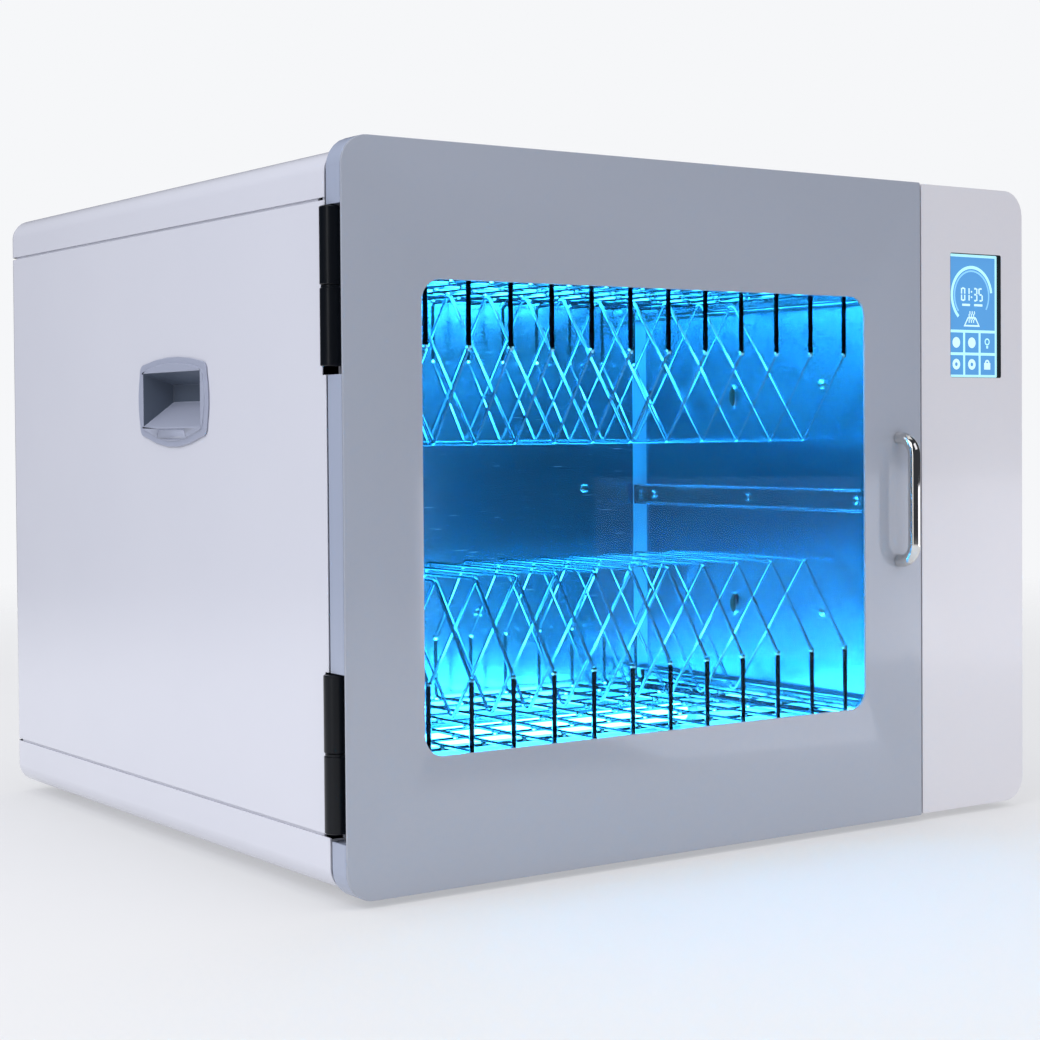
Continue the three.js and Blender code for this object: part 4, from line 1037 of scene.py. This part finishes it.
def makeCamera():
    data = bpy.data.cameras.new("camera")
    data.lens = view["lens"]
    data.sensor_width = 36
    data.shift_y = view["shift"]
    data.clip_start, data.clip_end = 0.05, 60
    camera = linkedObject("camera", data)
    turn = Matrix.Rotation(-math.radians(view["turn"]), 4, "Z")
    tilt = Matrix.Rotation(math.radians(90 + view["tilt"]), 4, "X")
    roll = Matrix.Rotation(math.radians(view["roll"]), 4, "Z")
    camera.matrix_world = Matrix.Translation(view["place"]) @ turn @ tilt @ roll
    bpy.context.scene.camera = camera


def areaLight(name, spot, target, size, watts, tint):
    data = bpy.data.lights.new(name, "AREA")
    data.shape = "RECTANGLE"
    data.size, data.size_y = size
    data.energy = watts
    data.color = linear(tint)[:3]
    lamp = linkedObject(name, data)
    aim = Vector(target) - Vector(spot)
    lamp.matrix_world = Matrix.Translation(spot) @ aim.to_track_quat("-Z", "Y").to_matrix().to_4x4()


studioLook = {
    "above": "#FFFFFF",
    "below": "#7C7E84",
    "dim": "#3A3C42",
    "backdrop": "#F6F7F9",
    "paperGlow": 0.36,
    "paperEdge": (1.2, 2.8),  # metres from the middle: where the paper starts to fade, and where it ends
}


def makeWorld():
    # bright behind the set and as fill light, dim in polished surfaces, like a dark room round a lit table
    world = bpy.data.worlds.new("studio")
    world.use_nodes = True
    bpy.context.scene.world = world
    tree = world.node_tree
    rays = put(tree, "ShaderNodeLightPath").outputs
    direction = put(tree, "ShaderNodeTexCoord").outputs["Generated"]
    height = put(tree, "ShaderNodeSeparateXYZ", links={"Vector": direction}).outputs["Z"]
    rise = put(tree, "ShaderNodeMapRange", {"From Min": -0.4, "From Max": 0.6}, {"Value": height})
    fill = put(tree, "ShaderNodeMix", {6: linear(studioLook["below"]), 7: linear(studioLook["above"])},
               {0: rise.outputs["Result"]}, data_type="RGBA")
    seen = put(tree, "ShaderNodeMix", {7: linear(studioLook["backdrop"])},
               {0: rays["Is Camera Ray"], 6: fill.outputs[2]}, data_type="RGBA")
    tone = put(tree, "ShaderNodeMix", {7: linear(studioLook["dim"])},
               {0: rays["Is Glossy Ray"], 6: seen.outputs[2]}, data_type="RGBA")
    tree.links.new(tone.outputs[2], tree.nodes["Background"].inputs["Color"])


def makeFloor():
    # pale paper that fades into the backdrop before it reaches the horizon
    material, tree, shader, coordinates = startMaterial("matt_backdrop_paper")
    toneVariation(tree, shader, coordinates, "#A8A9AC", "#A4A5A9", 600.0)
    setShader(shader, {"Roughness": 0.9, "Emission Color": linear("#FFFFFF"),
                       "Emission Strength": studioLook["paperGlow"]})
    distance = put(tree, "ShaderNodeVectorMath", links={0: coordinates}, operation="LENGTH")
    start, end = studioLook["paperEdge"]
    fade = put(tree, "ShaderNodeMapRange", {"From Min": start, "From Max": end},
               {"Value": distance.outputs["Value"]})
    clear = put(tree, "ShaderNodeBsdfTransparent")
    sheet = put(tree, "ShaderNodeMixShader",
                links={0: fade.outputs["Result"], 1: shader.outputs["BSDF"], 2: clear.outputs["BSDF"]})
    tree.links.new(sheet.outputs["Shader"], tree.nodes["Material Output"].inputs["Surface"])
    work = bmesh.new()
    bmesh.ops.create_circle(work, cap_ends=True, radius=end, segments=96)
    mesh = bpy.data.meshes.new("studio_floor")
    work.to_mesh(mesh)
    work.free()
    mesh.materials.append(material)
    linkedObject("studio_floor", mesh)


def makeStudio():
    bpy.context.scene.view_settings.view_transform = "Standard"
    makeWorld()
    makeFloor()
    areaLight("left_softbox", (-2.3, -0.4, 2.1), (0, 0, 0.3), (2.2, 1.6), 28, "#F6F7FF")
    areaLight("front_softbox", (0.7, -2.8, 2.5), (0, 0, 0.25), (2.6, 1.6), 15, "#F8F7FF")
    areaLight("top_softbox", (0.1, 0.3, 3.0), (0, 0, 0.3), (2.5, 2.5), 16, "#FFFFFF")
    areaLight("left_strip", (-2.2, -0.9, 0.5), (0.17, -0.29, 0.25), (0.36, 1.3), 3.4, "#FFFFFF")
    areaLight("right_card", (1.0, -0.95, 0.13), (0.2, -0.28, 0.1), (1.0, 0.24), 1.3, "#F4F5FF")


makeCamera()
makeStudio()
print("studio set")
makeCase()
makeCarryHandles()
print("case finished")
makeDoor()
makePull()
makeHinges()
print("door finished")
chamberInside = makeChamber()
makePorts(chamberInside)
makeLamps()
makeFasteners(chamberInside)
makeRack("lower_rack", 1)
makeRack("upper_rack", -1)
print("chamber finished")
makeColumn()
makeBack()
print("column and back finished")
